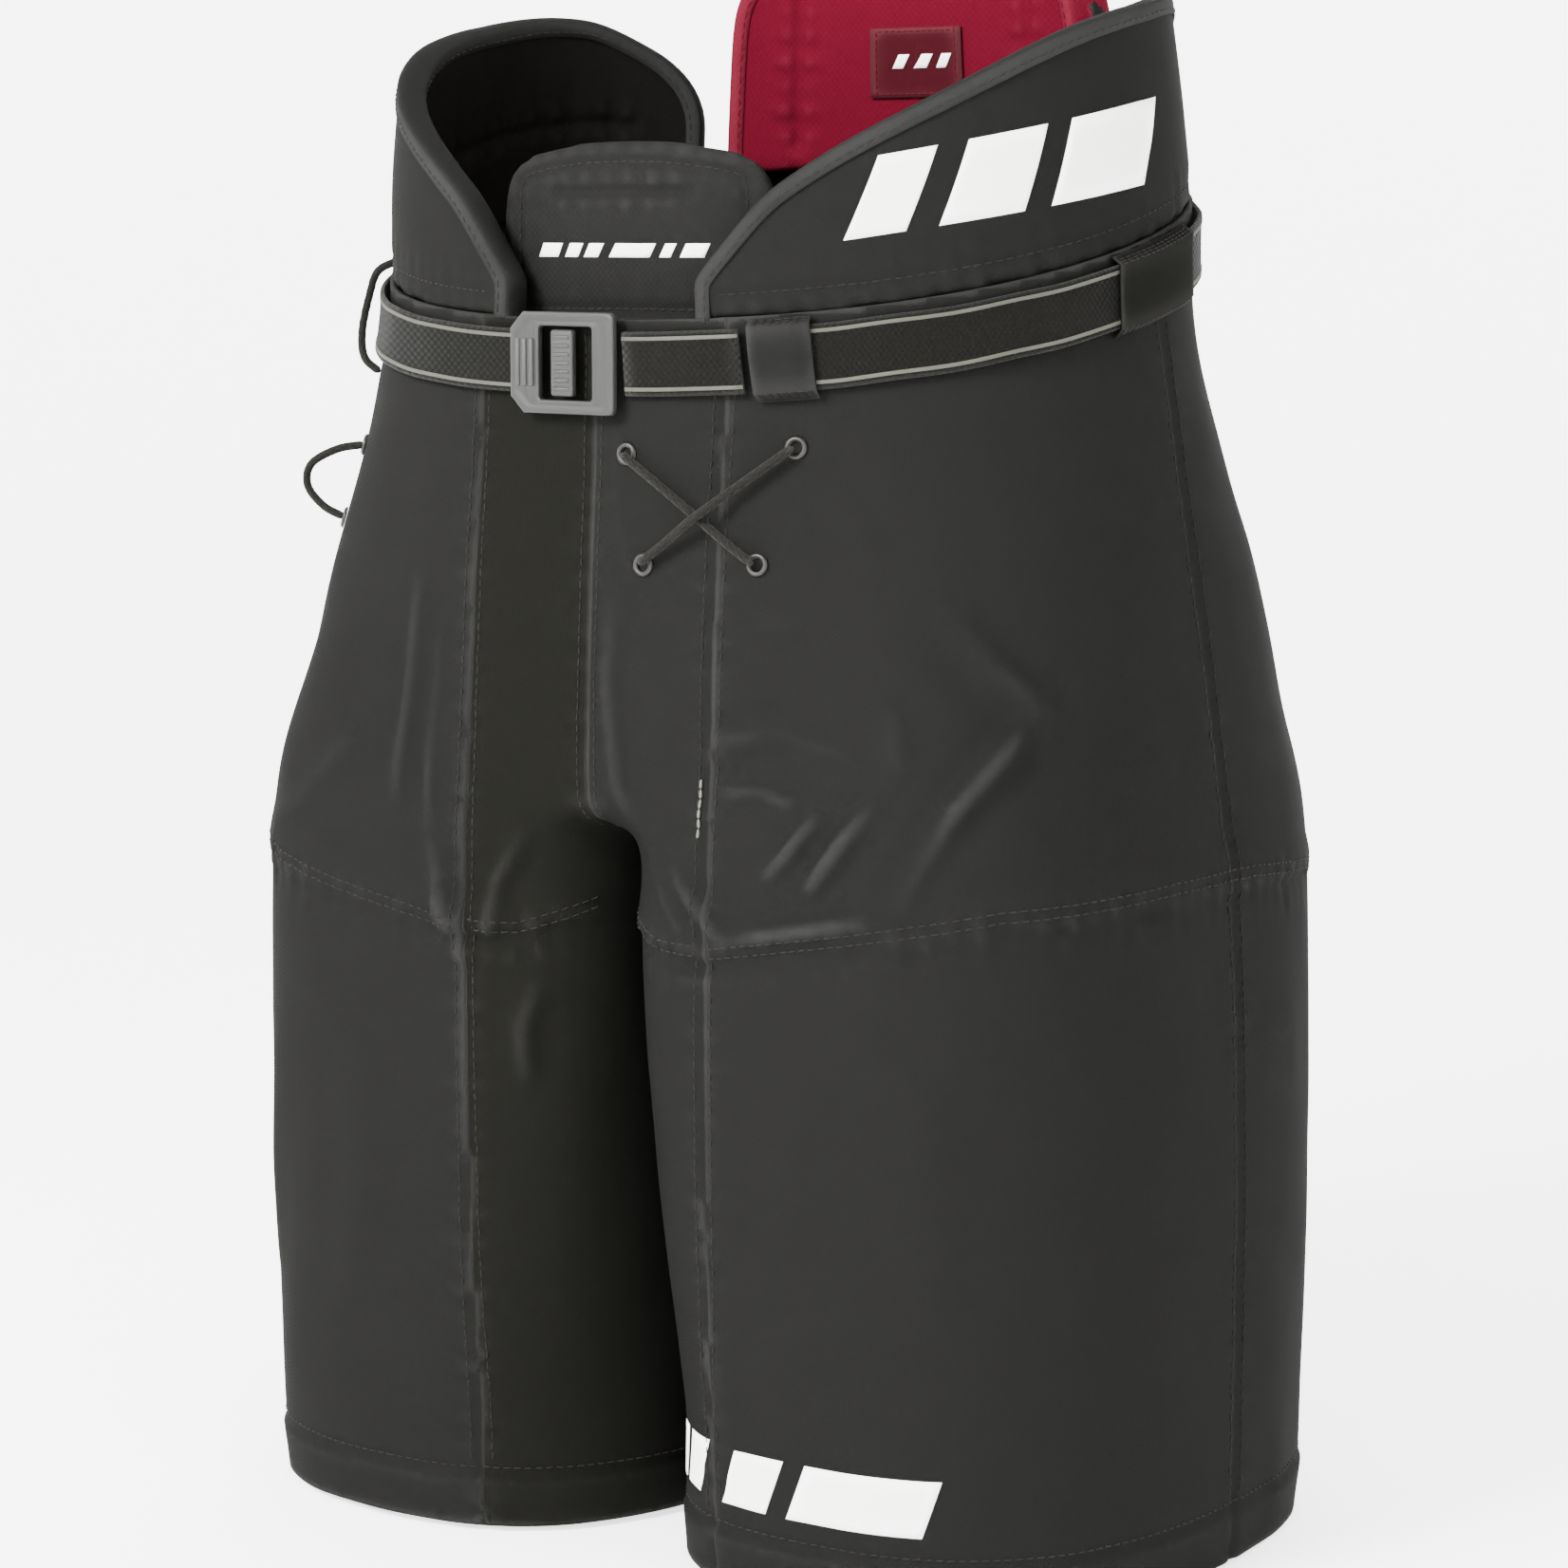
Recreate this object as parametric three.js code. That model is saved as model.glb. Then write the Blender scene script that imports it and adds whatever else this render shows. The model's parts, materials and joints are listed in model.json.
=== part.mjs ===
// Ice hockey pants: padded nylon shell, belt with a hook buckle, laced fly and swinging legs.
// Millimetres, +Z up, the wearer faces -Y, the wearer's left is +X, the hems rest on z = 0.
import * as THREE from 'three';

// ---- driving dimensions -------------------------------------------------------------------
const hipZ = 420;                // height of the hip axis, about which the legs swing
const pelvisRadius = 150;        // everything fixed to the pelvis stays inside this cylinder
const swingGap = 3;              // clearance between the pelvis cylinder and the legs
const hemHeight = 24;            // folded hem band at the bottom of each leg
const beltFrontZ = 485;          // belt centre line at the front
const beltFrontY = -127;
const beltRise = 0.25;           // the belt climbs towards the back by this slope
const beltHalf = 12.5;           // half of the 25 mm webbing
const waistbandHalf = 17;        // the shell reaches this far above the belt centre line
const spineTopZ = 662;           // top of the spine guard, the tallest point
const wingGap = 1.2;             // slack between the waistband and the flaps above it
const skin = 2.4;                // doubled nylon
const layerGap = 1.2;            // slack between stacked layers
const angleStep = 9;             // degrees between the stations of a panel
const rowStep = 30;              // height between the rows of a panel
const plate = 2.2;               // protective plastic
const foam = 9;                  // foam behind the plates
const webbing = 1.8;             // belt webbing
const cordRadius = 1.7;          // lace
const sideGap = 1.5;             // half of the slit between the legs

// Outlines of the body: height, half width, front depth, back depth, squareness.
const hipOutline = [
  [260, 217, 138, 142, 3.4],
  [300, 212, 138, 143, 3.3],
  [350, 204, 137, 143, 3.1],
  [400, 196, 134, 140, 2.8],
  [450, 187, 131, 132, 2.4],
  [500, 179, 131, 126, 2.2],
  [560, 177, 130, 125, 2.2],
  [620, 169, 127, 122, 2.2],
  [680, 158, 122, 118, 2.2],
];
// Outlines of a leg: height, centre, outer half width, inner half width, depth, squareness.
const legOutline = [
  [0, 104, 112, 100, 138, 2.5],
  [30, 104, 116, 102, 141, 2.5],
  [180, 104, 115, 102, 143, 2.6],
  [280, 104, 111, 102, 142, 2.7],
  [380, 104, 98, 102, 141, 2.8],
];

// ---- colours ------------------------------------------------------------------------------
const paint = {
  nylon: ['#3c3b39', 0.78, 0],
  darkNylon: ['#2b2a27', 0.8, 0],
  lining: ['#1d1c1b', 0.9, 0],
  greyMesh: ['#4a4947', 0.85, 0],
  red: ['#a21b36', 0.8, 0],
  label: ['#5e1526', 0.75, 0],
  plastic: ['#d8d7d2', 0.5, 0],
  foam: ['#c9c6bd', 0.95, 0],
  buckle: ['#77776f', 0.45, 0],
  webbing: ['#34332f', 0.85, 0],
  cord: ['#262522', 0.9, 0],
  metal: ['#55544f', 0.4, 0.8],
};

const group = new THREE.Group();
group.name = 'hockey_pants';

function add(name, geometry, kind) {
  const [color, roughness, metalness] = paint[kind];
  const material = new THREE.MeshStandardMaterial({ color, roughness, metalness });
  material.name = kind;
  const mesh = new THREE.Mesh(geometry, material);
  mesh.name = name;
  group.add(mesh);
}

// ---- surfaces -----------------------------------------------------------------------------
// Smooth values between the rows of an outline: a cubic through the rows, flat past its ends.
function blendRows(rows, z) {
  const height = THREE.MathUtils.clamp(z, rows[0][0], rows[rows.length - 1][0]);
  let i = 0;
  while (i < rows.length - 2 && height > rows[i + 1][0]) i += 1;
  const [low, high] = [rows[i], rows[i + 1]];
  const before = rows[Math.max(i - 1, 0)];
  const after = rows[Math.min(i + 2, rows.length - 1)];
  const step = high[0] - low[0];
  const t = (height - low[0]) / step;
  return low.slice(1).map((value, j) => {
    const k = j + 1;
    const lowSlope = ((high[k] - before[k]) / (high[0] - before[0])) * step;
    const highSlope = ((after[k] - value) / (after[0] - low[0])) * step;
    const rise = high[k] - value;
    const bend = 3 * rise - 2 * lowSlope - highSlope;
    return value + t * (lowSlope + t * (bend + t * (lowSlope + highSlope - 2 * rise)));
  });
}

function power(value, squareness) {
  return Math.sign(value) * Math.abs(value) ** (2 / squareness);
}

// Angle 0 is the front, 90 the wearer's left, 180 the back.
function hipPoint(angle, z) {
  const [half, front, back, squareness] = blendRows(hipOutline, z);
  const a = THREE.MathUtils.degToRad(angle);
  const x = half * power(Math.sin(a), squareness);
  const c = power(Math.cos(a), squareness);
  return new THREE.Vector3(x, c > 0 ? -front * c : -back * c, z);
}

// Angle 0 is the front of the leg, 90 its outer side, 180 the back, 270 the inner side.
function legPoint(side) {
  return (angle, z) => {
    const [centre, outer, inner, depth, squareness] = blendRows(legOutline, z);
    const a = THREE.MathUtils.degToRad(angle);
    const s = power(Math.sin(a), squareness);
    const c = power(Math.cos(a), squareness);
    return new THREE.Vector3(side * (centre + (s > 0 ? outer : inner) * s), -depth * c, z);
  };
}

// A point moved off a surface along its outward normal.
function offsetPoint(surface, angle, z, distance, outward) {
  const p = surface(angle, z);
  const across = surface(angle + 1, z).sub(surface(angle - 1, z));
  const up = surface(angle, z + 1).sub(surface(angle, z - 1));
  const normal = across.cross(up).normalize().multiplyScalar(outward);
  return p.addScaledVector(normal, distance);
}

// ---- solids -------------------------------------------------------------------------------
function solidFrom(points, triangles) {
  const geometry = new THREE.BufferGeometry();
  const numbers = points.flatMap((p) => [p.x, p.y, p.z]);
  geometry.setAttribute('position', new THREE.Float32BufferAttribute(numbers, 3));
  geometry.setIndex(triangles);
  return geometry;
}

// A closed sheet between two faces. face(along, v, outer) gives a point for each of the stations.
function sheet(face, stations, rows, flip) {
  const columns = stations.length - 1;
  const points = [];
  for (const outer of [true, false]) {
    for (let j = 0; j <= rows; j += 1) {
      for (const along of stations) points.push(face(along, j / rows, outer));
    }
  }
  const inner = (columns + 1) * (rows + 1);
  const at = (i, j, layer) => layer * inner + j * (columns + 1) + i;
  const triangles = [];
  const quad = (a, b, c, d) => {
    if (flip) triangles.push(a, c, b, a, d, c);
    else triangles.push(a, b, c, a, c, d);
  };
  for (let j = 0; j < rows; j += 1) {
    for (let i = 0; i < columns; i += 1) {
      quad(at(i, j, 0), at(i + 1, j, 0), at(i + 1, j + 1, 0), at(i, j + 1, 0));
      quad(at(i, j, 1), at(i, j + 1, 1), at(i + 1, j + 1, 1), at(i + 1, j, 1));
    }
  }
  for (let i = 0; i < columns; i += 1) {
    quad(at(i, 0, 1), at(i + 1, 0, 1), at(i + 1, 0, 0), at(i, 0, 0));
    quad(at(i, rows, 0), at(i + 1, rows, 0), at(i + 1, rows, 1), at(i, rows, 1));
  }
  for (let j = 0; j < rows; j += 1) {
    quad(at(0, j, 0), at(0, j + 1, 0), at(0, j + 1, 1), at(0, j, 1));
    quad(at(columns, j, 1), at(columns, j + 1, 1), at(columns, j + 1, 0), at(columns, j, 0));
  }
  return solidFrom(points, triangles);
}

// Angles every few degrees, the same for every layer, so that stacked layers keep parallel facets.
function stationsBetween(from, to) {
  const stations = [from];
  for (let k = Math.ceil((from + 1) / angleStep); k * angleStep < to - 1; k += 1) {
    stations.push(k * angleStep);
  }
  stations.push(to);
  return stations;
}

// A padded panel of the body. low and high give its edges for an angle and a depth in the body.
function panel({ surface, from, to, low, high, top, bottom, outward = 1 }) {
  const face = (angle, v, outer) => {
    const offset = outer ? top : bottom;
    const lowZ = low(angle, offset);
    const z = THREE.MathUtils.lerp(lowZ, high(angle, offset), v);
    return offsetPoint(surface, angle, z, offset, outward);
  };
  const stations = stationsBetween(from, to);
  const tallest = Math.max(...stations.map((angle) => high(angle, top) - low(angle, top)));
  return sheet(face, stations, Math.ceil(tallest / rowStep), outward < 0);
}

// ---- edges shared by the panels -------------------------------------------------------------
const beltZ = (y) => beltFrontZ + beltRise * (y - beltFrontY);

function hipBeltZ(angle) {
  return beltZ(hipPoint(angle, beltFrontZ + 30).y);
}

// Where a panel at this angle and offset meets a cylinder round the hip axis.
function cylinderEdge(surface, radius, outward) {
  return (angle, offset) => {
    let z = hipZ - radius / 2;
    for (let i = 0; i < 12; i += 1) {
      const p = offsetPoint(surface, angle, z, offset, outward);
      z = hipZ - Math.sqrt(Math.max(radius ** 2 - p.y ** 2, 0)) + (z - p.z);
    }
    return z;
  };
}

const pelvisEdge = cylinderEdge(hipPoint, pelvisRadius, 1);
const waistbandEdge = (angle) => hipBeltZ(angle) + waistbandHalf;
const flapEdge = (angle) => waistbandEdge(angle) + wingGap;

// ---- pelvis shell -----------------------------------------------------------------------------
const flyFrom = -20;
const flyTo = 1.5;
const sideSeam = 88;
const seatSeam = 152;
const seam = 0.5;
const shell = { surface: hipPoint, low: pelvisEdge, high: waistbandEdge, top: 0, bottom: -skin };
add('fly_panel', panel({ ...shell, from: flyFrom, to: flyTo }), 'darkNylon');
add('hip_shell_left_front', panel({ ...shell, from: flyTo + seam, to: sideSeam }), 'nylon');
add('hip_shell_right_front', panel({ ...shell, from: -sideSeam, to: flyFrom - seam }), 'nylon');
add('hip_shell_left_back', panel({ ...shell, from: sideSeam + seam, to: seatSeam }), 'nylon');
add('hip_shell_right_back', panel({ ...shell, from: -seatSeam, to: -sideSeam - seam }), 'nylon');
add('seat_panel', panel({ ...shell, from: seatSeam + seam, to: 360 - seatSeam - seam }), 'darkNylon');

// The crotch gusset runs from the fly to the seat along the inside of the hip cylinder.
const gussetHalf = 26;
const gussetReach = 68;          // degrees to either side of straight down
const gussetTop = pelvisRadius - 10;
const gussetFace = (x, v, outer) => {
  const a = THREE.MathUtils.degToRad(THREE.MathUtils.lerp(-gussetReach, gussetReach, v));
  const r = outer ? gussetTop : gussetTop - skin;
  return new THREE.Vector3(x, Math.sin(a) * r, hipZ - Math.cos(a) * r);
};
add('crotch_gusset', sheet(gussetFace, [-gussetHalf, 0, gussetHalf], 16, true), 'darkNylon');

// ---- padding inside the pelvis ------------------------------------------------------------------
const plateTop = -skin - layerGap;
const plateBottom = plateTop - plate;
const foamTop = plateBottom - layerGap;
const foamBottom = foamTop - foam;
for (const [side, word] of [[1, 'left'], [-1, 'right']]) {
  const span = { from: side > 0 ? 48 : -128, to: side > 0 ? 128 : -48 };
  const pad = { surface: hipPoint, ...span, low: () => 322, high: (angle) => hipBeltZ(angle) - 18 };
  add(`hip_plate_${word}`, panel({ ...pad, top: plateTop, bottom: plateBottom }), 'plastic');
  add(`hip_foam_${word}`, panel({ ...pad, top: foamTop, bottom: foamBottom }), 'foam');
}
const tail = { surface: hipPoint, from: 162, to: 198, low: () => 392, high: (angle) => hipBeltZ(angle) - 18 };
add('tailbone_plate', panel({ ...tail, top: plateTop, bottom: plateBottom }), 'plastic');

// ---- kidney wings: flaps above the belt, hinged along its line ------------------------------------
const wingFrom = 13;
const wingTo = 142;
const wingOutline = [[wingFrom, 518], [24, 553], [50, 590], [80, 618], [116, 629], [wingTo, 604]];
function wingTop(angle) {
  const a = Math.abs(angle);
  return blendRows(wingOutline, THREE.MathUtils.clamp(a, wingFrom, wingTo))[0];
}
const wingFoam = 7;
for (const [side, word] of [[1, 'left'], [-1, 'right']]) {
  const wing = {
    surface: hipPoint, from: side > 0 ? wingFrom : -wingTo, to: side > 0 ? wingTo : -wingFrom,
    low: flapEdge, high: wingTop,
  };
  const coverIn = -skin - layerGap;
  const liningTop = coverIn - wingFoam - layerGap;
  add(`wing_cover_${word}`, panel({ ...wing, top: 0, bottom: -skin }), 'nylon');
  add(`wing_foam_${word}`, panel({ ...wing, top: coverIn, bottom: coverIn - wingFoam }), 'foam');
  add(`wing_lining_${word}`, panel({ ...wing, top: liningTop, bottom: liningTop - 1.6 }), 'lining');
}

// ---- spine guard: the tall flap at the back with the red lining ------------------------------------
const spineHalf = 33;
const spineCrown = 16;           // the top edge is lower at its ends
const spineTop = (angle) => spineTopZ - spineCrown * ((angle - 180) / spineHalf) ** 2;
const spine = {
  surface: hipPoint, from: 180 - spineHalf, to: 180 + spineHalf, low: flapEdge, high: spineTop,
};
const spinePlateHalf = 20;
add('spine_cover', panel({ ...spine, top: 0, bottom: -skin }), 'nylon');
add('spine_plate', panel({
  ...spine, from: 180 - spinePlateHalf, to: 180 + spinePlateHalf, top: plateTop, bottom: plateBottom,
  high: (angle) => spineTop(angle) - 8,
}), 'plastic');
add('spine_foam', panel({ ...spine, top: foamTop, bottom: foamTop - wingFoam }), 'foam');
const backTop = foamTop - wingFoam - layerGap;
add('back_lining', panel({ ...spine, top: backTop, bottom: backTop - skin }), 'red');
const labelTop = backTop - skin - layerGap;
add('lining_label', panel({
  ...spine, from: 173, to: 187, low: () => 594, high: () => 624, top: labelTop, bottom: labelTop - 0.8,
}), 'label');

// ---- front tongue: the grey padded flap inside the fly ----------------------------------------------
const tongueHalf = 22;
const tongueTopZ = 572;
const tongueOut = -17.5;           // it hangs this far inside the shell
const tongueTop = (angle) => tongueTopZ - 9 * (angle / tongueHalf) ** 2;
const tongue = { surface: hipPoint, from: -tongueHalf, to: tongueHalf, low: () => 452, high: tongueTop };
add('tongue_cover', panel({ ...tongue, top: tongueOut, bottom: tongueOut - skin }), 'greyMesh');
const tongueFoamTop = tongueOut - skin - layerGap;
add('tongue_foam', panel({ ...tongue, top: tongueFoamTop, bottom: tongueFoamTop - wingFoam }), 'foam');

// ---- belt -------------------------------------------------------------------------------------------
const beltIn = 1.2;
const beltOut = beltIn + webbing;
const band = (from, to, inside, outside, half) => panel({
  surface: hipPoint, from, to, low: (a) => hipBeltZ(a) - half, high: (a) => hipBeltZ(a) + half,
  top: outside, bottom: inside,
});
const catchAngle = -6.5;         // the right strap ends here, under the left bar of the buckle frame
const frameSide = 4;             // the left strap ends here, under the right bar
const tunnelAngle = 19.5;
const buckleAngle = -2.4;
add('belt_right', band(-88, catchAngle, beltIn, beltOut, beltHalf), 'webbing');
add('belt_back', band(89, 271, beltIn, beltOut, beltHalf), 'webbing');
add('belt_left', band(tunnelAngle + 1.5, 88, beltIn, beltOut, beltHalf), 'webbing');
const loopIn = beltOut + layerGap;
const loopOut = loopIn + 1.4;
const loopHalf = waistbandHalf - 1;
add('belt_tunnel', band(tunnelAngle + 1.5, tunnelAngle + 10, loopIn, loopOut, loopHalf), 'nylon');
add('belt_loop_left', band(79, 99, loopIn, loopOut, loopHalf), 'darkNylon');
add('belt_loop_right', band(-99, -79, loopIn, loopOut, loopHalf), 'darkNylon');
add('belt_loop_back', band(174, 186, loopIn, loopOut, loopHalf), 'darkNylon');

// The strap that swings open about the tunnel mouth, with the buckle frame on its end.
add('belt_end', band(frameSide, tunnelAngle, beltIn, beltOut, beltHalf), 'webbing');

// ---- buckle: a frame on the swinging strap drops over a catch plate on the right strap -----------------
const frameWide = 52;
const frameTall = 40;
const frameThick = 3.2;
const corner = 6;
const opening = { x: 2, width: 27, height: 29 };
const catchPlate = { x: -0.2, width: 11, height: 26.2, thick: 3.6 };
function roundedOutline(width, height, radius) {
  const shape = new THREE.Shape();
  const [w, h] = [width / 2, height / 2];
  shape.moveTo(-w + radius, -h);
  shape.lineTo(w - radius, -h);
  shape.absarc(w - radius, -h + radius, radius, -Math.PI / 2, 0, false);
  shape.lineTo(w, h - radius);
  shape.absarc(w - radius, h - radius, radius, 0, Math.PI / 2, false);
  shape.lineTo(-w + radius, h);
  shape.absarc(-w + radius, h - radius, radius, Math.PI / 2, Math.PI, false);
  shape.lineTo(-w, -h + radius);
  shape.absarc(-w + radius, -h + radius, radius, Math.PI, Math.PI * 1.5, false);
  return shape;
}
function window(x, width, height) {
  const hole = new THREE.Path();
  hole.moveTo(x - width / 2, -height / 2);
  hole.lineTo(x - width / 2, height / 2);
  hole.lineTo(x + width / 2, height / 2);
  hole.lineTo(x + width / 2, -height / 2);
  hole.closePath();
  return hole;
}
// Places a flat piece, drawn in its own x and y, against the belt at an angle of the body.
function onBelt(geometry, angle, distance) {
  const z = hipBeltZ(angle);
  const origin = offsetPoint(hipPoint, angle, z, distance, 1);
  const out = offsetPoint(hipPoint, angle, z, distance + 1, 1).sub(origin);
  const across = offsetPoint(hipPoint, angle + 1, hipBeltZ(angle + 1), distance, 1)
    .sub(offsetPoint(hipPoint, angle - 1, hipBeltZ(angle - 1), distance, 1));
  across.addScaledVector(out, -across.dot(out)).normalize();
  const up = new THREE.Vector3().crossVectors(out, across);
  const frame = new THREE.Matrix4().makeBasis(across, up, out).setPosition(origin);
  return geometry.applyMatrix4(frame);
}
const frameShape = roundedOutline(frameWide, frameTall, corner);
frameShape.holes.push(window(opening.x, opening.width, opening.height));
const frameSolid = new THREE.ExtrudeGeometry(frameShape, {
  depth: frameThick, bevelEnabled: false, curveSegments: 4,
});
const frameLift = beltOut + 0.8;
add('buckle_frame', onBelt(frameSolid, buckleAngle, frameLift), 'buckle');

const catchSolid = new THREE.ExtrudeGeometry(roundedOutline(catchPlate.width, catchPlate.height, 2), {
  depth: catchPlate.thick, bevelEnabled: false, curveSegments: 3,
});
catchSolid.translate(catchPlate.x, 0, 0);
add('buckle_catch', onBelt(catchSolid, buckleAngle, beltOut + 0.5), 'buckle');

// ---- laces and eyelets ----------------------------------------------------------------------------------
// A place on the hip shell given by its x and height, on the front or the side that x belongs to.
function spot(x, z, lift) {
  let [low, high] = [0, 90];
  for (let i = 0; i < 24; i += 1) {
    const middle = (low + high) / 2;
    if (hipPoint(middle, z).x < Math.abs(x)) low = middle;
    else high = middle;
  }
  return offsetPoint(hipPoint, Math.sign(x) * low, z, lift, 1);
}

const eyeletLift = 0.7;
const eyeletProfile = [[2.5, 0], [4.6, 0], [4.6, 0.7], [3.7, 1.4], [2.5, 1.4], [2.5, 0]];
function eyelet(x, z) {
  const ring = new THREE.LatheGeometry(eyeletProfile.map(([r, y]) => new THREE.Vector2(r, y)), 12);
  const origin = spot(x, z, eyeletLift);
  const out = spot(x, z, eyeletLift + 1).sub(origin).normalize();
  const turn = new THREE.Quaternion().setFromUnitVectors(new THREE.Vector3(0, 1, 0), out);
  return ring.applyQuaternion(turn).translate(origin.x, origin.y, origin.z);
}

// Eyelets as [x, height]: two pairs on the fly, then two at the wearer's right hip.
const flyEyelets = [[17, 449], [90, 453], [27, 406], [78, 408]];
flyEyelets.forEach(([x, z], i) => add(`fly_eyelet_${i + 1}`, eyelet(x, z), 'metal'));
const hipEyelets = [[-166, 445], [-172, 414]];
hipEyelets.forEach(([x, z], i) => add(`hip_eyelet_${i + 1}`, eyelet(x, z), 'metal'));

function cord(points, steps) {
  const disc = new THREE.Shape();
  disc.absarc(0, 0, cordRadius, 0, Math.PI * 2);
  const extrudePath = new THREE.CatmullRomCurve3(points);
  return new THREE.ExtrudeGeometry(disc, { steps, extrudePath, curveSegments: 4, bevelEnabled: false });
}
const rest = cordRadius + 2.6;    // a lace lies this far above the shell, clear of the eyelets
const over = rest + cordRadius * 2 + 0.5;
add('lace_cross_low', cord([
  spot(17, 449, rest), spot(34, 438, rest), spot(53, 425, rest), spot(66, 416, rest), spot(78, 408, rest),
], 12), 'cord');
add('lace_cross_high', cord([
  spot(90, 453, rest), spot(72, 439, rest + 1), spot(54, 425, over), spot(40, 415, rest + 1),
  spot(27, 406, rest),
], 12), 'cord');
add('hip_lace_loop', cord([
  spot(-166, 445, rest), spot(-168, 440, 11), spot(-171, 431, 20), spot(-173, 422, 19), spot(-173, 416, 10),
  spot(-172, 414, rest),
], 14), 'cord');
add('waist_lace_loop', cord([
  spot(-168, 523, rest), spot(-168, 518, 9), spot(-169, 507, 13), spot(-168, 491, 13), spot(-167, 480, 9),
  spot(-167, 475, rest),
], 16), 'cord');

// ---- legs -------------------------------------------------------------------------------------------------
const legPanels = [
  ['front', -52, 52],
  ['back', 52, 232],
  ['inner', 232, 308],
];
const bandOver = 1;               // slack between the hem band and the panel above it
for (const [side, word] of [[1, 'left'], [-1, 'right']]) {
  const surface = legPoint(side);
  const top = cylinderEdge(surface, pelvisRadius + swingGap, side);
  const leg = { surface, outward: side, low: () => hemHeight + bandOver, high: top };
  for (const [where, from, to] of legPanels) {
    const edges = { from: from + seam, to: to - seam };
    const kind = where === 'inner' ? 'darkNylon' : 'nylon';
    add(`leg_${where}_${word}`, panel({ ...leg, ...edges, top: 0, bottom: -skin }), kind);
  }
  const pad = { ...leg, low: () => hemHeight + 16 };
  const padTop = (angle, offset) => top(angle, offset) - 12;
  const front = { ...pad, from: -46, to: 40, high: padTop };
  const outer = { ...pad, from: 46, to: 122, high: padTop };
  const both = { ...pad, from: -46, to: 122, high: padTop };
  add(`thigh_plate_${word}`, panel({ ...front, top: plateTop, bottom: plateBottom }), 'plastic');
  add(`side_plate_${word}`, panel({ ...outer, top: plateTop, bottom: plateBottom }), 'plastic');
  add(`thigh_foam_${word}`, panel({ ...both, top: foamTop, bottom: foamBottom }), 'foam');

  // The hem band is one ring, flat underneath.
  const profile = [[0, 0], [0, hemHeight], [-skin * 1.4, hemHeight], [-skin * 1.4, 0]];
  const turns = 40;
  const points = [];
  const triangles = [];
  for (let i = 0; i < turns; i += 1) {
    for (const [inwards, z] of profile) {
      points.push(offsetPoint(surface, (i * 360) / turns, z, inwards, side).setZ(z));
    }
  }
  const at = (i, j) => (i % turns) * profile.length + (j % profile.length);
  for (let i = 0; i < turns; i += 1) {
    for (let j = 0; j < profile.length; j += 1) {
      const [a, b, c, d] = [at(i, j), at(i + 1, j), at(i + 1, j + 1), at(i, j + 1)];
      if (side > 0) triangles.push(a, b, c, a, c, d);
      else triangles.push(a, c, b, a, d, c);
    }
  }
  add(`hem_band_${word}`, solidFrom(points, triangles), 'darkNylon');
}

export default group;
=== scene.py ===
# %% [markdown]
# # Ice hockey pants
# Padded nylon pants that stand on their own two hems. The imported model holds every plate,
# strap and hinge. This script gives each of them its looks: the cloth shell with its seams and
# folds, the padded flaps, the belt with its buckle, and the laces.

# %% Load the fixed frame
import math

import bmesh
import bpy
import json
import numpy as np
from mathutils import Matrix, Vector, noise


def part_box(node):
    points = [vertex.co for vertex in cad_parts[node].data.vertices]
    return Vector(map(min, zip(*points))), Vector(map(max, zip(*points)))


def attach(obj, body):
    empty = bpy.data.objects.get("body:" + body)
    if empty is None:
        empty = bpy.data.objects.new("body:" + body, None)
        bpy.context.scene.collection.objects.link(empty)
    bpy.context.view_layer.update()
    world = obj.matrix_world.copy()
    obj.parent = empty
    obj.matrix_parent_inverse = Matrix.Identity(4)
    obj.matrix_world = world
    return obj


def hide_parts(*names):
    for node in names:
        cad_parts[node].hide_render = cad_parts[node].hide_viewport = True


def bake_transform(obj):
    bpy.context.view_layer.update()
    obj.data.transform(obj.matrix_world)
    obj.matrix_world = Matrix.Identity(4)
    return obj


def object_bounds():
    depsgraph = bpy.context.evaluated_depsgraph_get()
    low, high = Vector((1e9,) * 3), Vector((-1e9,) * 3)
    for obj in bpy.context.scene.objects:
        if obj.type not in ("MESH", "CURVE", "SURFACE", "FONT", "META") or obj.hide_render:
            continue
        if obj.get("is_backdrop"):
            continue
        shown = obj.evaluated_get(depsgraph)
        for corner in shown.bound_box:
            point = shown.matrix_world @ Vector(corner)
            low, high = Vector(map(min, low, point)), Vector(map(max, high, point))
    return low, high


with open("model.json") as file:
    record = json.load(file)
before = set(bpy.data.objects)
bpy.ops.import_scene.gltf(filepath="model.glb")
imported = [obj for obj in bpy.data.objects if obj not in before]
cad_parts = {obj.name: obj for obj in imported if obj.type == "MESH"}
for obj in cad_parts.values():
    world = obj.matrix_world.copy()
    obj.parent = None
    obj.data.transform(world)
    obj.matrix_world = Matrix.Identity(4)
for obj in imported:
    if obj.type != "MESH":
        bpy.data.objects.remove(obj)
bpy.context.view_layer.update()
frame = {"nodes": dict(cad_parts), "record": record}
nodes = frame["nodes"]

# %% [markdown]
# ## Camera and stage
# A long lens from a little above the belt, turned towards the wearer's left leg. The floor
# bends up into a wall all round, like a bowl of pale paper, so no horizon line shows anywhere.

# %% Camera
AZIMUTH, ELEVATION, DISTANCE = 35.0, 7.5, 1.8
LENS = 97.5
AIM = Vector((0.0, 0.0, 0.303))


def camera_back(azimuth, elevation):
    a, e = math.radians(azimuth), math.radians(elevation)
    return Vector((math.sin(a) * math.cos(e), -math.cos(a) * math.cos(e), math.sin(e)))


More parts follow.
